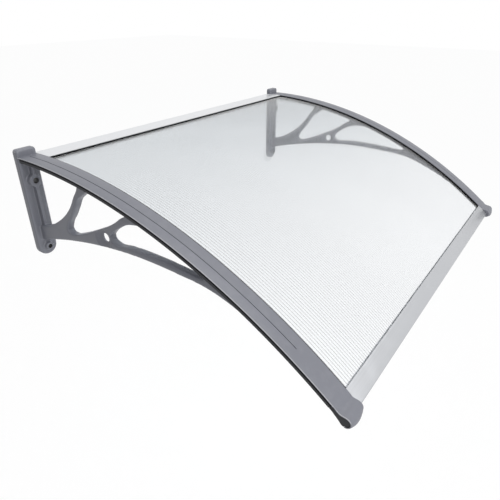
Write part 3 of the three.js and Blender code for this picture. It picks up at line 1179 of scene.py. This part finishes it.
@dataclass(frozen=True)
class Struts:
    """Flat frame between the plate and the rail: three openings, a round hole and a spine."""

    thickness: float = 18.0
    spine_depth: float = 8.8
    front_out: float = 667.0
    run_out: float = 42.0
    chord_root: float = -183.0
    ledge: float = -149.0
    hole_out: float = 247.0
    hole_up: float = -111.8
    hole_radius: float = 9.6
    dish_radius: float = 24.0
    hole_web: float = 4.6
    dish_shares: tuple[Pair, ...] = ((0.84, 0.6), (0.64, 0.26))
    hole_rim: tuple[Pair, ...] = ((2.4, 0.5), (0.7, -0.1), (0.0, -0.9))
    overlap: float = 1.0

    @property
    def spine_bottom(self) -> float:
        """Depth of the spine's underside."""
        return LAYERS.rail_depth + self.spine_depth

    def outline(self) -> list[Corner]:
        """Draws the frame's outer edge, from the front to the wall and back.

        Returns:
            The corners of the edge.
        """
        chord = [ARC.under(642, 23.5), ARC.under(608, 27.8), ARC.under(528, 40.2), ARC.under(448, 65.6),
                 (353, -122.5), (252, -131), (150, -148), (70, -167)]
        rear = [(58, -135), (88, -119), (121, -96), (148, -70), (168, -42), ARC.under(183, 28)]
        stations = [ARC.along(out) for out in (200, 300, 400, 500, 600, self.front_out)]
        hidden = [ARC.pair(along, LAYERS.rail_depth - 2 * self.overlap) for along in stations]
        return [
            *sharp([ARC.under(self.front_out, self.spine_bottom)]),
            *smooth(chord),
            *sharp([(14.5, self.chord_root), (4, self.chord_root)]),
            *sharp([(4, self.ledge), (14.5, self.ledge)]),
            *smooth(rear),
            *sharp([ARC.under(190, LAYERS.rail_depth), hidden[0]]),
            *smooth(hidden[1:-1]),
            *sharp([hidden[-1]]),
        ]

    def middle_opening(self) -> list[Corner]:
        """Draws the three-cornered opening between the two spokes.

        Returns:
            The corners of the opening.
        """
        top = self.spine_bottom - 2 * self.overlap
        foot, heel, toe, tip = (129, -118), (141, -134), (308, -52), ARC.under(316, top)
        return [
            *sharp([ARC.under(222, top)]),
            *smooth([(194, -36), (180, -47), (168, -65), (152, -87.5), foot]),
            *rounded(foot, (119, -134), heel),
            *smooth([heel, (162, -128), (192, -116), (225, -100.6), (257, -85), (287, -67.4), toe]),
            *rounded(toe, ARC.under(329, 25), tip),
            *sharp([tip, ARC.under(290, top - 1), ARC.under(250, top - 1)]),
        ]

    def front_opening(self) -> list[Corner]:
        """Draws the long opening between the front spoke and the lower chord.

        Returns:
            The corners of the opening.
        """
        top = self.spine_bottom - 2 * self.overlap
        foot, heel, toe, tip = (278, -91), (280, -114), (505, -112.5), ARC.under(500, top)
        return [
            *sharp([ARC.under(388, top)]),
            *smooth([(366, -55), (345, -56.6), (320, -63.6), (297.6, -76.5), foot]),
            *rounded(foot, (259, -109), heel),
            *smooth([heel, (320, -111.5), (365, -109.2), (408, -109.4), (448, -111.3)]),
            *smooth([(487, -112.8), toe]),
            *rounded(toe, (524, -112), tip),
            *sharp([tip, ARC.under(470, top - 1), ARC.under(430, top - 1)]),
        ]

    def plate(self) -> bpy.types.Object:
        """Makes the frame from its outline and its two closed openings."""
        loops = [self.outline(), self.middle_opening(), self.front_opening()]
        return outline_solid("strut_plate", loops, self.thickness)

    def spine(self) -> bpy.types.Object:
        """Makes the spine under the rail, which runs out towards the front.

        Returns:
            The spine.
        """
        start, front = ARC.along(LAYERS.rail_start), ARC.along(self.front_out)
        steps = [start + (front - start) * i / 12 for i in range(13)]
        above = [ARC.pair(along, LAYERS.rail_depth - self.overlap) for along in steps]
        below = [ARC.pair(along, self.spine_bottom) for along in reversed(steps)]
        end = front + self.run_out
        outline = [
            *sharp(above[:1]),
            *smooth(above[1:]),
            *sharp([ARC.pair(end, LAYERS.rail_depth - self.overlap), ARC.pair(end, LAYERS.rail_depth)]),
            *smooth([ARC.pair(front + self.run_out / 3, self.spine_bottom - 2.2)]),
            *smooth(below[:-1]),
            *sharp(below[-1:]),
        ]
        return outline_solid("spine", [outline], self.thickness)

    def hole(self) -> bpy.types.Object:
        """Makes the cutter of the round hole, in a thin web between two shallow dishes.

        Returns:
            The cutter.
        """
        half, web = self.thickness / 2, self.hole_web / 2
        outer, clear = self.dish_radius + 3, half + 4
        side = [
            (outer, half + 1.2),
            (self.dish_radius, half),
            *[(self.dish_radius * share, web + (half - web) * height) for share, height in self.dish_shares],
            *[(self.hole_radius + past, web + height) for past, height in self.hole_rim],
        ]
        near = [(radius, -across) for radius, across in side]
        profile = [(0, -clear), (outer, -clear), *near, *reversed(side), (outer, clear), (0, clear)]
        hole_up = self.hole_up
        corners = [Vector((across, -self.hole_out, hole_up + radius)) * MM for radius, across in profile]
        cutter = draw_face("round_hole", corners)
        bpy.ops.mesh.delete(type="ONLY_FACE")
        bpy.ops.mesh.select_all(action="SELECT")
        centre = Vector((0, -self.hole_out, hole_up)) * MM
        bpy.ops.mesh.spin(steps=64, angle=math.tau, center=centre, axis=(1, 0, 0))
        bpy.ops.mesh.select_all(action="SELECT")
        bpy.ops.mesh.remove_doubles(threshold=MERGE_DISTANCE)
        bpy.ops.mesh.delete_loose(use_verts=True, use_edges=True, use_faces=False)
        tidy_shell(cutter)
        return cutter


@dataclass(frozen=True)
class Rail:
    """Flanged strip along the top, with a slot down each side, a fine groove and a round nose.

    It is drawn for the left side of the canopy, where -X is outwards. A black strip in the outer slot,
    and a dark plate that closes the pocket in the outer side of the nose, paint the shade of these hollows.
    """

    groove_width: float = 2.0
    groove_depth: float = 1.2
    groove_start: float = 24.0
    groove_end: float = 690.0
    nose_radius: float = 10.6
    nose_sink: float = 3.2
    nose_swell: float = 24.0
    nose_bulge: float = 5.5
    nose_edge: float = 1.4
    swell_run: float = 9.0
    swell_rise: float = 0.55
    root_length: float = 6.0
    root_depth: float = 1.2
    pocket_depth: float = 3.2
    pocket_run: float = 7.0
    shell: float = 1.7
    # Size and place of the dark plate of painted shade in the nose's pocket.
    shade_plate_thickness: float = 1.8
    shade_plate_depth: float = 2.2
    joint: float = 0.3
    lower_inset: float = 2.2
    lip_inset: float = 0.7
    web_foot: float = 5.0
    lip_top: float = 5.4
    shade_strip_corner: float = 0.2
    edge: float = 0.55
    steps: int = 96

    @property
    def nose_along(self) -> float:
        """Middle of the nose, along the roof."""
        lever = ARC.radius - self.nose_sink
        nose_out = LAYERS.reach - self.nose_bulge - self.nose_radius
        return ARC.radius * math.asin((nose_out - ARC.crown_out) / lever)

    @property
    def slope(self) -> float:
        """Fall of the roof at the nose, in radians."""
        return self.nose_along / ARC.radius

    def flanges(self) -> bpy.types.Object:
        """Makes the rail with its two open slots.

        Returns:
            The rail, without its front end.
        """
        half, web = LAYERS.rail_width / 2, LAYERS.rail_web / 2
        short = half - self.lower_inset
        top, floor, under = LAYERS.top_flange, LAYERS.slot_floor, LAYERS.rail_depth
        inner = [(half, 0), (half, top), (web, top), (web, floor), (half, floor), (half, under)]
        outer = [(-short, under), (-short, floor), (-web, floor), (-web, top), (-half, top), (-half, 0)]
        start = ARC.along(LAYERS.rail_start)
        return ARC.strip("rail_flanges", inner + outer, start, LAYERS.front_foot, self.steps, self.edge)

    def front(self) -> bpy.types.Object:
        """Makes the closed end of the rail in front of the slots.

        Returns:
            The front end.
        """
        half = LAYERS.rail_width / 2
        section = [(half, 0), (half, LAYERS.rail_depth), (-half, LAYERS.rail_depth), (-half, 0)]
        return ARC.strip("rail_front", section, LAYERS.front_foot - 1, self.nose_along, 6, self.edge)

    def bulb(self, inset: float, first: float, last: float, steps: int = 12) -> list[Pair]:
        """Draws part of the round of the nose.

        Args:
            inset: distance inside the nose's surface; below zero it lies outside.
            first: angle of its first point, in radians above the roof's own slope.
            last: angle of its last point.
            steps: number of steps between them.

        Returns:
            Its points as out and up pairs.
        """
        centre = ARC.pair(self.nose_along, self.nose_sink)
        radius = self.nose_radius - inset
        turns = [first + (last - first) * i / steps - self.slope for i in range(steps + 1)]
        return [(centre[0] + radius * math.cos(turn), centre[1] + radius * math.sin(turn)) for turn in turns]

    def bulge(self, piece: bpy.types.Object) -> None:
        """Pushes a piece of the nose forwards, most in the middle of the rail's width.

        Args:
            piece: piece of the nose, in the place of the rail that is drawn about X = 0.
        """
        middle = ARC.point(self.nose_along, self.nose_sink)
        forward = Vector((0, -math.cos(self.slope), -math.sin(self.slope)))
        half = LAYERS.rail_width / 2 * MM
        for vertex in piece.data.vertices:
            ahead = max(0.0, (vertex.co - middle).dot(forward)) / (self.nose_radius * MM)
            share = max(0.0, 1 - (vertex.co.x / half) ** 2)
            vertex.co += forward * (ahead * share * self.nose_bulge * MM)

    def slice_across(self, piece: bpy.types.Object, slices: int = 22) -> None:
        """Cuts a nose into slices across the rail, so that it can bulge smoothly.

        Args:
            piece: the nose.
            slices: number of slices.
        """
        half = LAYERS.rail_width / 2
        pick(piece)
        bpy.ops.object.mode_set(mode="EDIT")
        for i in range(1, slices):
            place = half * math.sin(math.pi / 2 * (2 * i / slices - 1))
            bpy.ops.mesh.select_all(action="SELECT")
            bpy.ops.mesh.bisect(plane_co=(place * MM, 0, 0), plane_no=(1, 0, 0))
        bpy.ops.object.mode_set(mode="OBJECT")

    def nose(self) -> bpy.types.Object:
        """Makes the round nose, which swells out of the rail's top.

        Returns:
            The nose.
        """
        rear = self.swell_start
        back, sunk = rear - self.root_length, self.root_depth
        swell = ARC.pair(rear + self.swell_run, -self.swell_rise)
        outline = [
            *sharp([ARC.pair(back, sunk), ARC.pair(back, 0.02)]),
            *smooth([swell, *self.bulb(0, math.pi / 2 + 0.5, -math.pi / 2 - 0.4)]),
            *sharp([ARC.pair(rear, LAYERS.rail_depth - 0.1), ARC.pair(rear, sunk)]),
        ]
        nose = outline_solid("nose", [outline], LAYERS.rail_width, self.nose_edge)
        self.slice_across(nose)
        self.bulge(nose)
        return nose

    @property
    def swell_start(self) -> float:
        """Where the nose starts to swell, along the roof."""
        return self.nose_along - self.nose_swell

    @property
    def pocket_start(self) -> float:
        """Rear end of the pocket in the nose, along the roof."""
        return self.swell_start - self.pocket_run

    def pocket_edge(self, inset: float) -> list[Corner]:
        """Draws the pocket's edge, from the slot over the swelling and round the nose.

        Args:
            inset: distance of the edge inside the rail's surface.

        Returns:
            The corners of the edge.
        """
        swollen = ARC.pair(self.swell_start + self.swell_run, inset - self.swell_rise)
        return [
            *sharp([ARC.pair(self.pocket_start + inset - self.shell, inset)]),
            *smooth([ARC.pair(self.swell_start, inset), swollen]),
            *smooth(self.bulb(inset, math.pi / 2 + 0.3, -0.95)),
        ]

    def pocket(self) -> bpy.types.Object:
        """Makes the cutter of the pocket in the nose's outer side, open to below.

        Returns:
            The cutter.
        """
        outline = [
            *self.pocket_edge(self.shell),
            *sharp(self.bulb(-6, -1.0, -math.pi / 2 - 0.6, 3)),
            *sharp([ARC.pair(self.pocket_start, LAYERS.rail_depth + 5)]),
        ]
        cutter = outline_solid("nose_pocket", [outline], 2 * self.pocket_depth)
        cutter.location.x = -LAYERS.rail_width / 2 * MM
        settle(cutter)
        self.bulge(cutter)
        return cutter

    def slot_shade_strip(self, black: bpy.types.Material, dark: bpy.types.Material) -> bpy.types.Object:
        """Makes the strip in the outer slot that paints its shade: a black web, and a dark lip over the
        lower flange.

        Args:
            black: material of the web.
            dark: material of the lip.

        Returns:
            The strip, in the place of the rail that is drawn about X = 0.
        """
        half, web, gap = LAYERS.rail_width / 2, LAYERS.rail_web / 2, LAYERS.clearance
        top, floor, foot = LAYERS.top_flange + gap, LAYERS.slot_floor - gap, LAYERS.rail_depth - self.joint
        short, lip = half - self.lower_inset + gap, half - self.lip_inset
        section = [(-web - gap, top), (-short + 0.5, top), (-short - 0.4, self.web_foot),
                   (-lip, self.lip_top), (-lip, foot), (-short, foot), (-short, floor), (-web - gap, floor)]
        start, end = ARC.along(WallPlate.fillet + WallPlate.thickness), self.pocket_start - self.joint
        slot_shade_strip = ARC.strip("painted_slot_shade", section, start, end, 80, self.shade_strip_corner)
        slot_shade_strip.data.materials.append(black)
        slot_shade_strip.data.materials.append(dark)
        for face in slot_shade_strip.data.polygons:
            face.material_index = 1 if face.center.x < -(lip - self.joint) * MM else 0
        return slot_shade_strip

    def pocket_shade_plate(self, dark: bpy.types.Material) -> bpy.types.Object:
        """Makes the dark plate of painted shade that closes the pocket in the nose's outer side.

        Args:
            dark: material of the plate.

        Returns:
            The plate, in the place of the rail that is drawn about X = 0.
        """
        foot = LAYERS.rail_depth - self.joint
        outline = [
            *self.pocket_edge(self.shell + LAYERS.clearance),
            *smooth(self.bulb(self.joint, -1.15, -math.pi / 2 - 0.4, 4)),
            *sharp([ARC.pair(self.swell_start, foot)]),
            *sharp([ARC.pair(self.pocket_start + self.joint, foot)]),
        ]
        pocket_shade_plate = outline_solid("painted_pocket_shade", [outline], self.shade_plate_thickness, self.joint)
        pocket_shade_plate.location.x = (self.shade_plate_depth - LAYERS.rail_width / 2) * MM
        settle(pocket_shade_plate)
        self.bulge(pocket_shade_plate)
        pocket_shade_plate.data.materials.clear()
        pocket_shade_plate.data.materials.append(dark)
        return pocket_shade_plate

    def groove(self) -> bpy.types.Object:
        """Makes the cutter of the fine groove along the rail's top.

        Returns:
            The cutter.
        """
        half, depth = self.groove_width / 2, self.groove_depth
        section = [(-half, -1), (half, -1), (half * 0.6, depth), (-half * 0.6, depth)]
        start, end = ARC.along(self.groove_start), ARC.along(self.groove_end)
        return ARC.strip("groove", section, start, end, 80)

    def build(self) -> bpy.types.Object:
        """Makes the whole rail.

        Returns:
            The rail with its nose, its pocket and its groove.
        """
        body = self.flanges()
        merge_solids(body, self.front(), Merge.JOIN)
        merge_solids(body, self.nose(), Merge.JOIN)
        merge_solids(body, self.pocket(), Merge.CUT)
        merge_solids(body, self.groove(), Merge.CUT)
        return body


@dataclass(frozen=True)
class Brackets:
    """The two brackets: one moulding, made once and copied."""

    plate: WallPlate = WallPlate()
    struts: Struts = Struts()
    rail: Rail = Rail()
    voxel: float = 1.6
    rounding: int = 22
    plate_share: float = 0.25
    plate_past: float = 1.5
    crisp: float = 40.0

    def moulded_body(self) -> bpy.types.Object:
        """Makes the plate and the struts as one soft-edged moulding.

        Returns:
            The body, flat against the wall, with its bores and its round hole.
        """
        plate, struts = self.plate, self.struts
        parts = [struts.plate(), struts.spine(), plate.slab(), plate.rib(), *plate.bosses()]
        body = join_pieces(parts, "bracket_body")
        apply_modifier(body, "REMESH", mode="VOXEL", voxel_size=self.voxel * MM)
        self.round_off(body)
        bpy.ops.object.mode_set(mode="EDIT")
        bpy.ops.mesh.select_all(action="SELECT")
        bpy.ops.mesh.bisect(plane_co=(0, 0, 0), plane_no=(0, 1, 0), clear_outer=True, use_fill=True)
        bpy.ops.object.mode_set(mode="OBJECT")
        for cutter in (self.struts.hole(), *self.plate.bores()):
            merge_solids(body, cutter, Merge.CUT)
        return body

    def round_off(self, body: bpy.types.Object) -> None:
        """Rounds the edges of the moulding, more on the struts than on the plate.

        Args:
            body: remeshed body, which is selected.
        """
        group = body.vertex_groups.new(name="rounding")
        soft, firm = [], []
        for vertex in body.data.vertices:
            near_plate = vertex.co.y > -(self.plate.upper_boss[1] + self.plate_past) * MM
            (firm if near_plate else soft).append(vertex.index)
        group.add(soft, 1.0, "REPLACE")
        group.add(firm, self.plate_share, "REPLACE")
        apply_modifier(body, "SMOOTH", factor=0.5, iterations=self.rounding, vertex_group=group.name)

    @staticmethod
    def set_out(piece: bpy.types.Object, name: str) -> list[bpy.types.Object]:
        """Puts a piece drawn about X = 0 in the left bracket's place, and its mirror in the right's.

        Args:
            piece: piece of the left bracket.
            name: last part of both names.

        Returns:
            The left piece and the right one.
        """
        twin = piece.copy()
        twin.data = piece.data.copy()
        bpy.context.collection.objects.link(twin)
        for made, side in ((piece, Side.LEFT), (twin, Side.RIGHT)):
            made.name = f"{side.name.lower()}_{name}"
            made.scale.x = -side.value
            made.location.x = side.value * LAYERS.spacing / 2 * MM
            settle(made)
            tidy_shell(made)
        return [piece, twin]

    def build(self, finish: bpy.types.Material, black: bpy.types.Material,
              dark: bpy.types.Material) -> list[bpy.types.Object]:
        """Makes both brackets, with the dark strips and plates that paint the shade of their outer slots and
        nose pockets.

        Args:
            finish: material of the moulding.
            black: material of the strips' webs.
            dark: material of the strips' lips and of the plates in the noses.

        Returns:
            The two brackets, the two strips and the two plates.
        """
        moulding = self.moulded_body()
        merge_solids(moulding, self.rail.build(), Merge.JOIN)
        moulding.data.materials.clear()
        moulding.data.materials.append(finish)
        brackets = self.set_out(moulding, "moulding")
        for piece, side in zip(brackets, Side):
            hand_over(piece, f"{side.name.lower()}_bracket", "bracket_plastic", self.crisp)
        # Dark strips and plates that paint the shade of the outer slots and nose pockets.
        extras = self.set_out(self.rail.slot_shade_strip(black, dark), "painted_slot_shade")
        extras += self.set_out(self.rail.pocket_shade_plate(dark), "painted_pocket_shade")
        for piece in extras:
            present(piece, "seal_rubber")
        return brackets + extras


# Sheet, bars and seals


@dataclass(frozen=True)
class RoofSheet:
    """Clear twin-wall sheet with open cells that run from the wall to the front."""

    pitch: float = 6.5
    skin: float = 0.5
    rib: float = 0.9
    steps: int = 64

    def mark_faces(self, sheet: bpy.types.Object) -> None:
        """Gives the outer skin over the ribs the second material, and the cell walls the third.

        Args:
            sheet: the finished sheet.
        """
        widest = (self.rib + 0.05) * MM
        for face in sheet.data.polygons:
            places = [sheet.data.vertices[index].co.x for index in face.vertices]
            if abs(face.normal.x) > 0.7:
                face.material_index = 2
            elif max(places) - min(places) < widest and face.normal.z > 0.5:
                face.material_index = 1

    def build(self, finishes: Sequence[bpy.types.Material]) -> bpy.types.Object:
        """Makes the sheet: one cell is drawn, repeated across and spun along the roof.

        Args:
            finishes: materials of the skins, of the outer skin over the ribs and of the cell walls.

        Returns:
            The sheet.
        """
        half = LAYERS.slot_foot - LAYERS.inset
        count = round((2 * half - self.rib) / self.pitch)
        pitch = (2 * half - self.rib) / count
        start, end = LAYERS.sheet_span
        top = LAYERS.sheet_top
        rows = (top, top + self.skin, top + LAYERS.sheet - self.skin, top + LAYERS.sheet)
        sheet = self.draw_cells(half, count, pitch, rows)
        place = ARC.point(start, 0.0)
        tilt = -start / ARC.radius
        sheet.rotation_euler.x = -tilt
        sheet.location = place
        settle(sheet)
        bpy.ops.object.mode_set(mode="EDIT")
        bpy.ops.mesh.select_all(action="SELECT")
        ARC.sweep(sheet, end - start, self.steps)
        for finish in finishes:
            sheet.data.materials.append(finish)
        self.mark_faces(sheet)
        hand_over(sheet, "roof_sheet", "clear_sheet", 20)
        return sheet

    def draw_cells(self, half: float, count: int, pitch: float, rows: Sequence[float]) -> bpy.types.Object:
        """Draws the sheet's section: skins and ribs round the open cells.

        Args:
            half: half the width of the sheet.
            count: number of cells.
            pitch: width of a cell and its rib.
            rows: depths of the skins' four faces.

        Returns:
            The section, standing at the origin.
        """
        faces = [
            (0.0, self.rib, rows[0], rows[1]),
            (0.0, self.rib, rows[1], rows[2]),
            (0.0, self.rib, rows[2], rows[3]),
            (self.rib, pitch, rows[0], rows[1]),
            (self.rib, pitch, rows[2], rows[3]),
        ]
        parts = []
        for left, right, upper, lower in faces:
            corners = [(left, upper), (right, upper), (right, lower), (left, lower)]
            parts.append(draw_face("cell", [Vector((x - half, 0, -depth)) * MM for x, depth in corners]))
            clear_selection()
        cell = join_pieces(parts, "clear_twin_wall")
        apply_modifier(cell, "ARRAY", count=count, use_relative_offset=False, use_constant_offset=True,
                       constant_offset_displace=(pitch * MM, 0, 0))
        last = []
        for upper, lower in zip(rows, rows[1:]):
            corners = [(half - self.rib, upper), (half, upper), (half, lower), (half - self.rib, lower)]
            last.append(draw_face("edge_rib", [Vector((x, 0, -depth)) * MM for x, depth in corners]))
            clear_selection()
        join_pieces([cell, *last], "clear_twin_wall")
        tidy_shell(cell)
        return cell


@dataclass(frozen=True)
class Bars:
    """Aluminium bars that close the sheet's wall edge and its front edge.

    The front bar's round nose has a fine drip line at one of its steps.
    """

    leg_height: float = 27.0
    corner: float = 3.0
    edge: float = 0.3
    drip_line: float = 0.6
    drip_step: int = 4
    nose_steps: int = 14

    def rear(self) -> list[Vector]:
        """Draws the rear bar's section: a leg on the wall, a chamber and a channel.

        Returns:
            The section's corners, in metres.
        """
        wall = LAYERS.bar_wall
        skin = LAYERS.slot_floor + wall
        top_back = ARC.under(0, self.corner)[1]
        foot = top_back - self.leg_height
        back = [(0.0, foot), (0.0, top_back)]
        turn = [(self.corner * (1 - math.cos(t)), top_back + self.corner * math.sin(t))
                for t in (math.pi / 8, math.pi / 4, 3 * math.pi / 8)]
        roof = [ARC.under(out, 0) for out in (self.corner, 12, 22, 32, 42, 50)]
        lip, foot_along, top, floor = LAYERS.rear_lip, LAYERS.rear_foot, LAYERS.top_flange, LAYERS.slot_floor
        front = [(lip, 0), (lip, top), (foot_along, top), (foot_along, floor), (lip, floor), (lip, skin),
                 (foot_along, skin), (0, skin)]
        shelf = ARC.pair(0, skin)[1]
        leg = [(wall, shelf - 1.5), (wall, foot)]
        return [Vector((0, -out, up)) * MM for out, up in [*back, *turn, *roof, *self.laid(front), *leg]]

    def front(self) -> list[Vector]:
        """Draws the front bar's section: a channel and a round nose.

        Returns:
            The section's corners, in metres.
        """
        skin = LAYERS.slot_floor + LAYERS.bar_wall
        round_off = skin / 2
        tip = LAYERS.front_edge - round_off
        slope = tip / ARC.radius
        centre = ARC.pair(tip, round_off)
        lip, foot, top, floor = LAYERS.front_lip, LAYERS.front_foot, LAYERS.top_flange, LAYERS.slot_floor
        rear = [(tip, skin), (lip, skin), (lip, floor), (foot, floor), (foot, top), (lip, top), (lip, 0),
                (lip + 10, 0), (tip, 0)]
        nose = []
        for step in range(1, self.nose_steps):
            turn = math.pi / 2 - slope - math.pi * step / self.nose_steps
            radius = round_off - (self.drip_line if step == self.drip_step else 0.0)
            nose.append((centre[0] + radius * math.cos(turn), centre[1] + radius * math.sin(turn)))
        return [Vector((0, -out, up)) * MM for out, up in [*self.laid(rear), *nose]]

    @staticmethod
    def laid(points: Sequence[Pair]) -> list[Pair]:
        """Lays along and depth pairs on the roof's curve."""
        return [ARC.pair(along, depth) for along, depth in points]

    def build(self, finish: bpy.types.Material) -> list[bpy.types.Object]:
        """Makes both bars.

        Args:
            finish: material of the bars.

        Returns:
            The rear bar and the front bar.
        """
        made = []
        half = Vector((LAYERS.bar_half, 0, 0)) * MM
        for name, node, section in (("wall_extrusion", "rear_bar", self.rear()),
                                    ("front_extrusion", "front_bar", self.front())):
            piece = draw_face(name, [corner - half for corner in section])
            pull_across(piece, 2 * LAYERS.bar_half)
            apply_modifier(piece, "BEVEL", width=self.edge * MM, segments=2, limit_method="ANGLE",
                           angle_limit=math.radians(50))
            piece.data.materials.append(finish)
            hand_over(piece, node, "bar_aluminium")
            made.append(piece)
        return made


@dataclass(frozen=True)
class Seals:
    """Soft black seals in the slots of the rails and in the channels of the bars."""

    rear_show: float = 2.5
    front_show: float = -2.0
    side_show: float = 3.0
    corner: float = 0.2

    def section(self, foot: float, lip: float) -> list[Pair]:
        """Draws a U that lies over the sheet's edge, as distance and depth pairs.

        Args:
            foot: distance of its closed side.
            lip: distance of its open edges.

        Returns:
            Its corners.
        """
        wall = math.copysign(LAYERS.seal, lip - foot)
        top, bottom = LAYERS.seal_top, LAYERS.seal_bottom
        return [(lip, top), (lip, top + LAYERS.seal), (foot + wall, top + LAYERS.seal),
                (foot + wall, bottom - LAYERS.seal), (lip, bottom - LAYERS.seal), (lip, bottom),
                (foot, bottom), (foot, top)]

    def along_rail(self, side: Side) -> bpy.types.Object:
        """Makes the seal in one rail's slot.

        Args:
            side: side of the canopy.

        Returns:
            The seal.
        """
        foot = LAYERS.slot_foot - LAYERS.clearance
        lip = LAYERS.rail_edge - self.side_show
        section = [(side.value * across, depth) for across, depth in self.section(foot, lip)]
        start, end = LAYERS.sheet_span
        return ARC.strip(f"{side.name.lower()}_slot_seal", section, start, end, 72, self.corner)

    def along_bar(self, name: str, foot: float, lip: float) -> bpy.types.Object:
        """Makes the seal in one bar's channel.

        Args:
            name: name of the new object.
            foot: its closed side, along the roof.
            lip: its open edges, along the roof.

        Returns:
            The seal.
        """
        half = LAYERS.bar_half - self.side_show
        corners = [ARC.point(along, depth, -half) for along, depth in self.section(foot, lip)]
        piece = draw_face(name, corners)
        soften_corners(self.corner, 2)
        pull_across(piece, 2 * half)
        return piece

    def build(self, finish: bpy.types.Material) -> list[bpy.types.Object]:
        """Makes the four seals.

        Args:
            finish: material of the seals.

        Returns:
            The four seals.
        """
        rear = LAYERS.rear_foot + LAYERS.clearance, LAYERS.rear_lip + self.rear_show
        front = LAYERS.front_foot - LAYERS.clearance, LAYERS.front_lip - self.front_show
        pieces = {
            "left_seal": self.along_rail(Side.LEFT),
            "right_seal": self.along_rail(Side.RIGHT),
            "rear_seal": self.along_bar("wall_lip_seal", *rear),
            "front_seal": self.along_bar("front_lip_seal", *front),
        }
        for node, piece in pieces.items():
            piece.data.materials.append(finish)
            hand_over(piece, node, "seal_rubber")
        return list(pieces.values())


# Studio


@dataclass(frozen=True)
class Camera:
    """Camera at the photograph's viewing angle: place in metres, angles in degrees, lens in mm."""

    place: Triple = (-0.96806, -0.95569, 0.29834)
    azimuth: float = -54.084
    elevation: float = 28.378
    lens: float = 32.789
    sensor: float = 36.0

    def build(self) -> bpy.types.Object:
        """Adds the camera and makes it the scene's own.

        Returns:
            The camera.
        """
        turn = (math.radians(90 - self.elevation), 0.0, math.radians(self.azimuth))
        clear_selection()
        bpy.ops.object.camera_add(location=self.place, rotation=turn)
        camera = bpy.context.object
        camera.name = "photograph_camera"
        camera.data.lens = self.lens
        camera.data.sensor_width = self.sensor
        bpy.context.scene.camera = camera
        return camera


@dataclass(frozen=True)
class Studio:
    """White room with a pale floor below the canopy and soft lamps above it."""

    floor_height: float = -0.9
    floor_size: float = 30.0
    floor_white: float = 0.97
    floor_glow: float = 0.95
    world_colour: Colour = (0.95, 0.97, 1.0)
    world_strength: float = 0.55
    aim: Triple = (0.0, -0.4, -0.1)
    lamps: tuple[tuple[str, Triple, float, float], ...] = (
        ("overhead_lamp", (0.05, -0.9, 2.2), 1.8, 27.0),
        ("front_lamp", (-0.85, -2.5, 0.9), 1.2, 21.0),
    )

    def lamp(self, name: str, place: Triple, size: float, power: float) -> None:
        """Adds a soft square lamp.

        Args:
            name: name of the lamp.
            place: where it stands, in metres.
            size: length of its sides.
            power: its power in watts.
        """
        clear_selection()
        turn = (Vector(self.aim) - Vector(place)).to_track_quat("-Z", "Y").to_euler()
        bpy.ops.object.light_add(type="AREA", location=place, rotation=turn)
        lamp = bpy.context.object
        lamp.name = name
        lamp.data.shape = "SQUARE"
        lamp.data.size = size
        lamp.data.energy = power

    def seen_directly(self, wiring: Wiring) -> bpy.types.NodeSocket:
        """Gives 1 for what the camera sees, also in gloss and through glass.

        Args:
            wiring: wiring of the material or of the world.

        Returns:
            The mask.
        """
        path = wiring.add("LightPath")
        seen = wiring.work_out("ADD", path.outputs["Is Camera Ray"], path.outputs["Is Glossy Ray"], True)
        return wiring.work_out("ADD", seen, path.outputs["Is Transmission Ray"], True)

    def floor(self) -> None:
        """Adds the pale floor, which keeps the canopy's soft shadow."""
        clear_selection()
        bpy.ops.mesh.primitive_plane_add(size=self.floor_size, location=(0, 0, self.floor_height))
        floor = bpy.context.object
        floor.name = "studio_floor"
        settle(floor)
        material, wiring, shader, output = open_material("pale_floor")
        shader.inputs["Base Color"].default_value = grey(self.floor_white)
        shader.inputs["Roughness"].default_value = 0.9
        glow = wiring.add("Emission", Color=WHITE, Strength=1.0)
        share = wiring.work_out("MULTIPLY", self.seen_directly(wiring), self.floor_glow)
        mix = wiring.add("MixShader", Fac=share)
        wiring.put(mix.inputs[1], shader.outputs[0])
        wiring.put(mix.inputs[2], glow.outputs[0])
        wiring.put(output.inputs["Surface"], mix.outputs[0])
        floor.data.materials.append(material)

    def world(self) -> None:
        """Sets the world: soft light on the canopy, plain white behind it."""
        world = bpy.data.worlds.new("white_room")
        world.use_nodes = True
        bpy.context.scene.world = world
        wiring = Wiring(world.node_tree)
        nodes = world.node_tree.nodes
        soft = nodes["Background"]
        soft.inputs["Color"].default_value = opaque(self.world_colour)
        soft.inputs["Strength"].default_value = self.world_strength
        white = wiring.add("Background", Color=WHITE, Strength=1.0)
        mix = wiring.add("MixShader", Fac=self.seen_directly(wiring))
        wiring.put(mix.inputs[1], soft.outputs[0])
        wiring.put(mix.inputs[2], white.outputs[0])
        wiring.put(nodes["World Output"].inputs["Surface"], mix.outputs[0])

    def build(self) -> None:
        """Builds the whole studio."""
        self.world()
        self.floor()
        for name, place, size, power in self.lamps:
            self.lamp(name, place, size, power)
        bpy.context.scene.view_settings.view_transform = "Standard"


def main() -> None:
    """Builds the canopy and its studio, one sub-assembly after another."""
    logging.basicConfig(level=logging.INFO, format="%(message)s")
    groups = Groups(grain_group(), dust_group(), drawn_lines_group())
    LOG.info("camera: %s", Camera().build().name)
    Studio().build()
    LOG.info("studio: %d lamps", len(bpy.data.lights))
    black = BlackRubber().material(groups)
    # Dark grey that paints the shade of the rails' nose pockets and of the strips' lips.
    dark = BlackRubber("painted_shade_dark", (0.044, 0.044, 0.047)).material(groups)
    bores = [(height, radius) for height, radius, _ in WallPlate().screws]
    Brackets().build(MouldedPlastic(bores).material(groups), black, dark)
    walls = ClearSheet("clear_polycarbonate_wall", roughness=0.0, gloss=0.0)
    RoofSheet().build([clear.material(groups) for clear in (ClearSheet(), FluteLine(), walls)])
    Bars().build(PaleAluminium().material(groups))
    Seals().build(black)


if __name__ == "__main__":
    main()
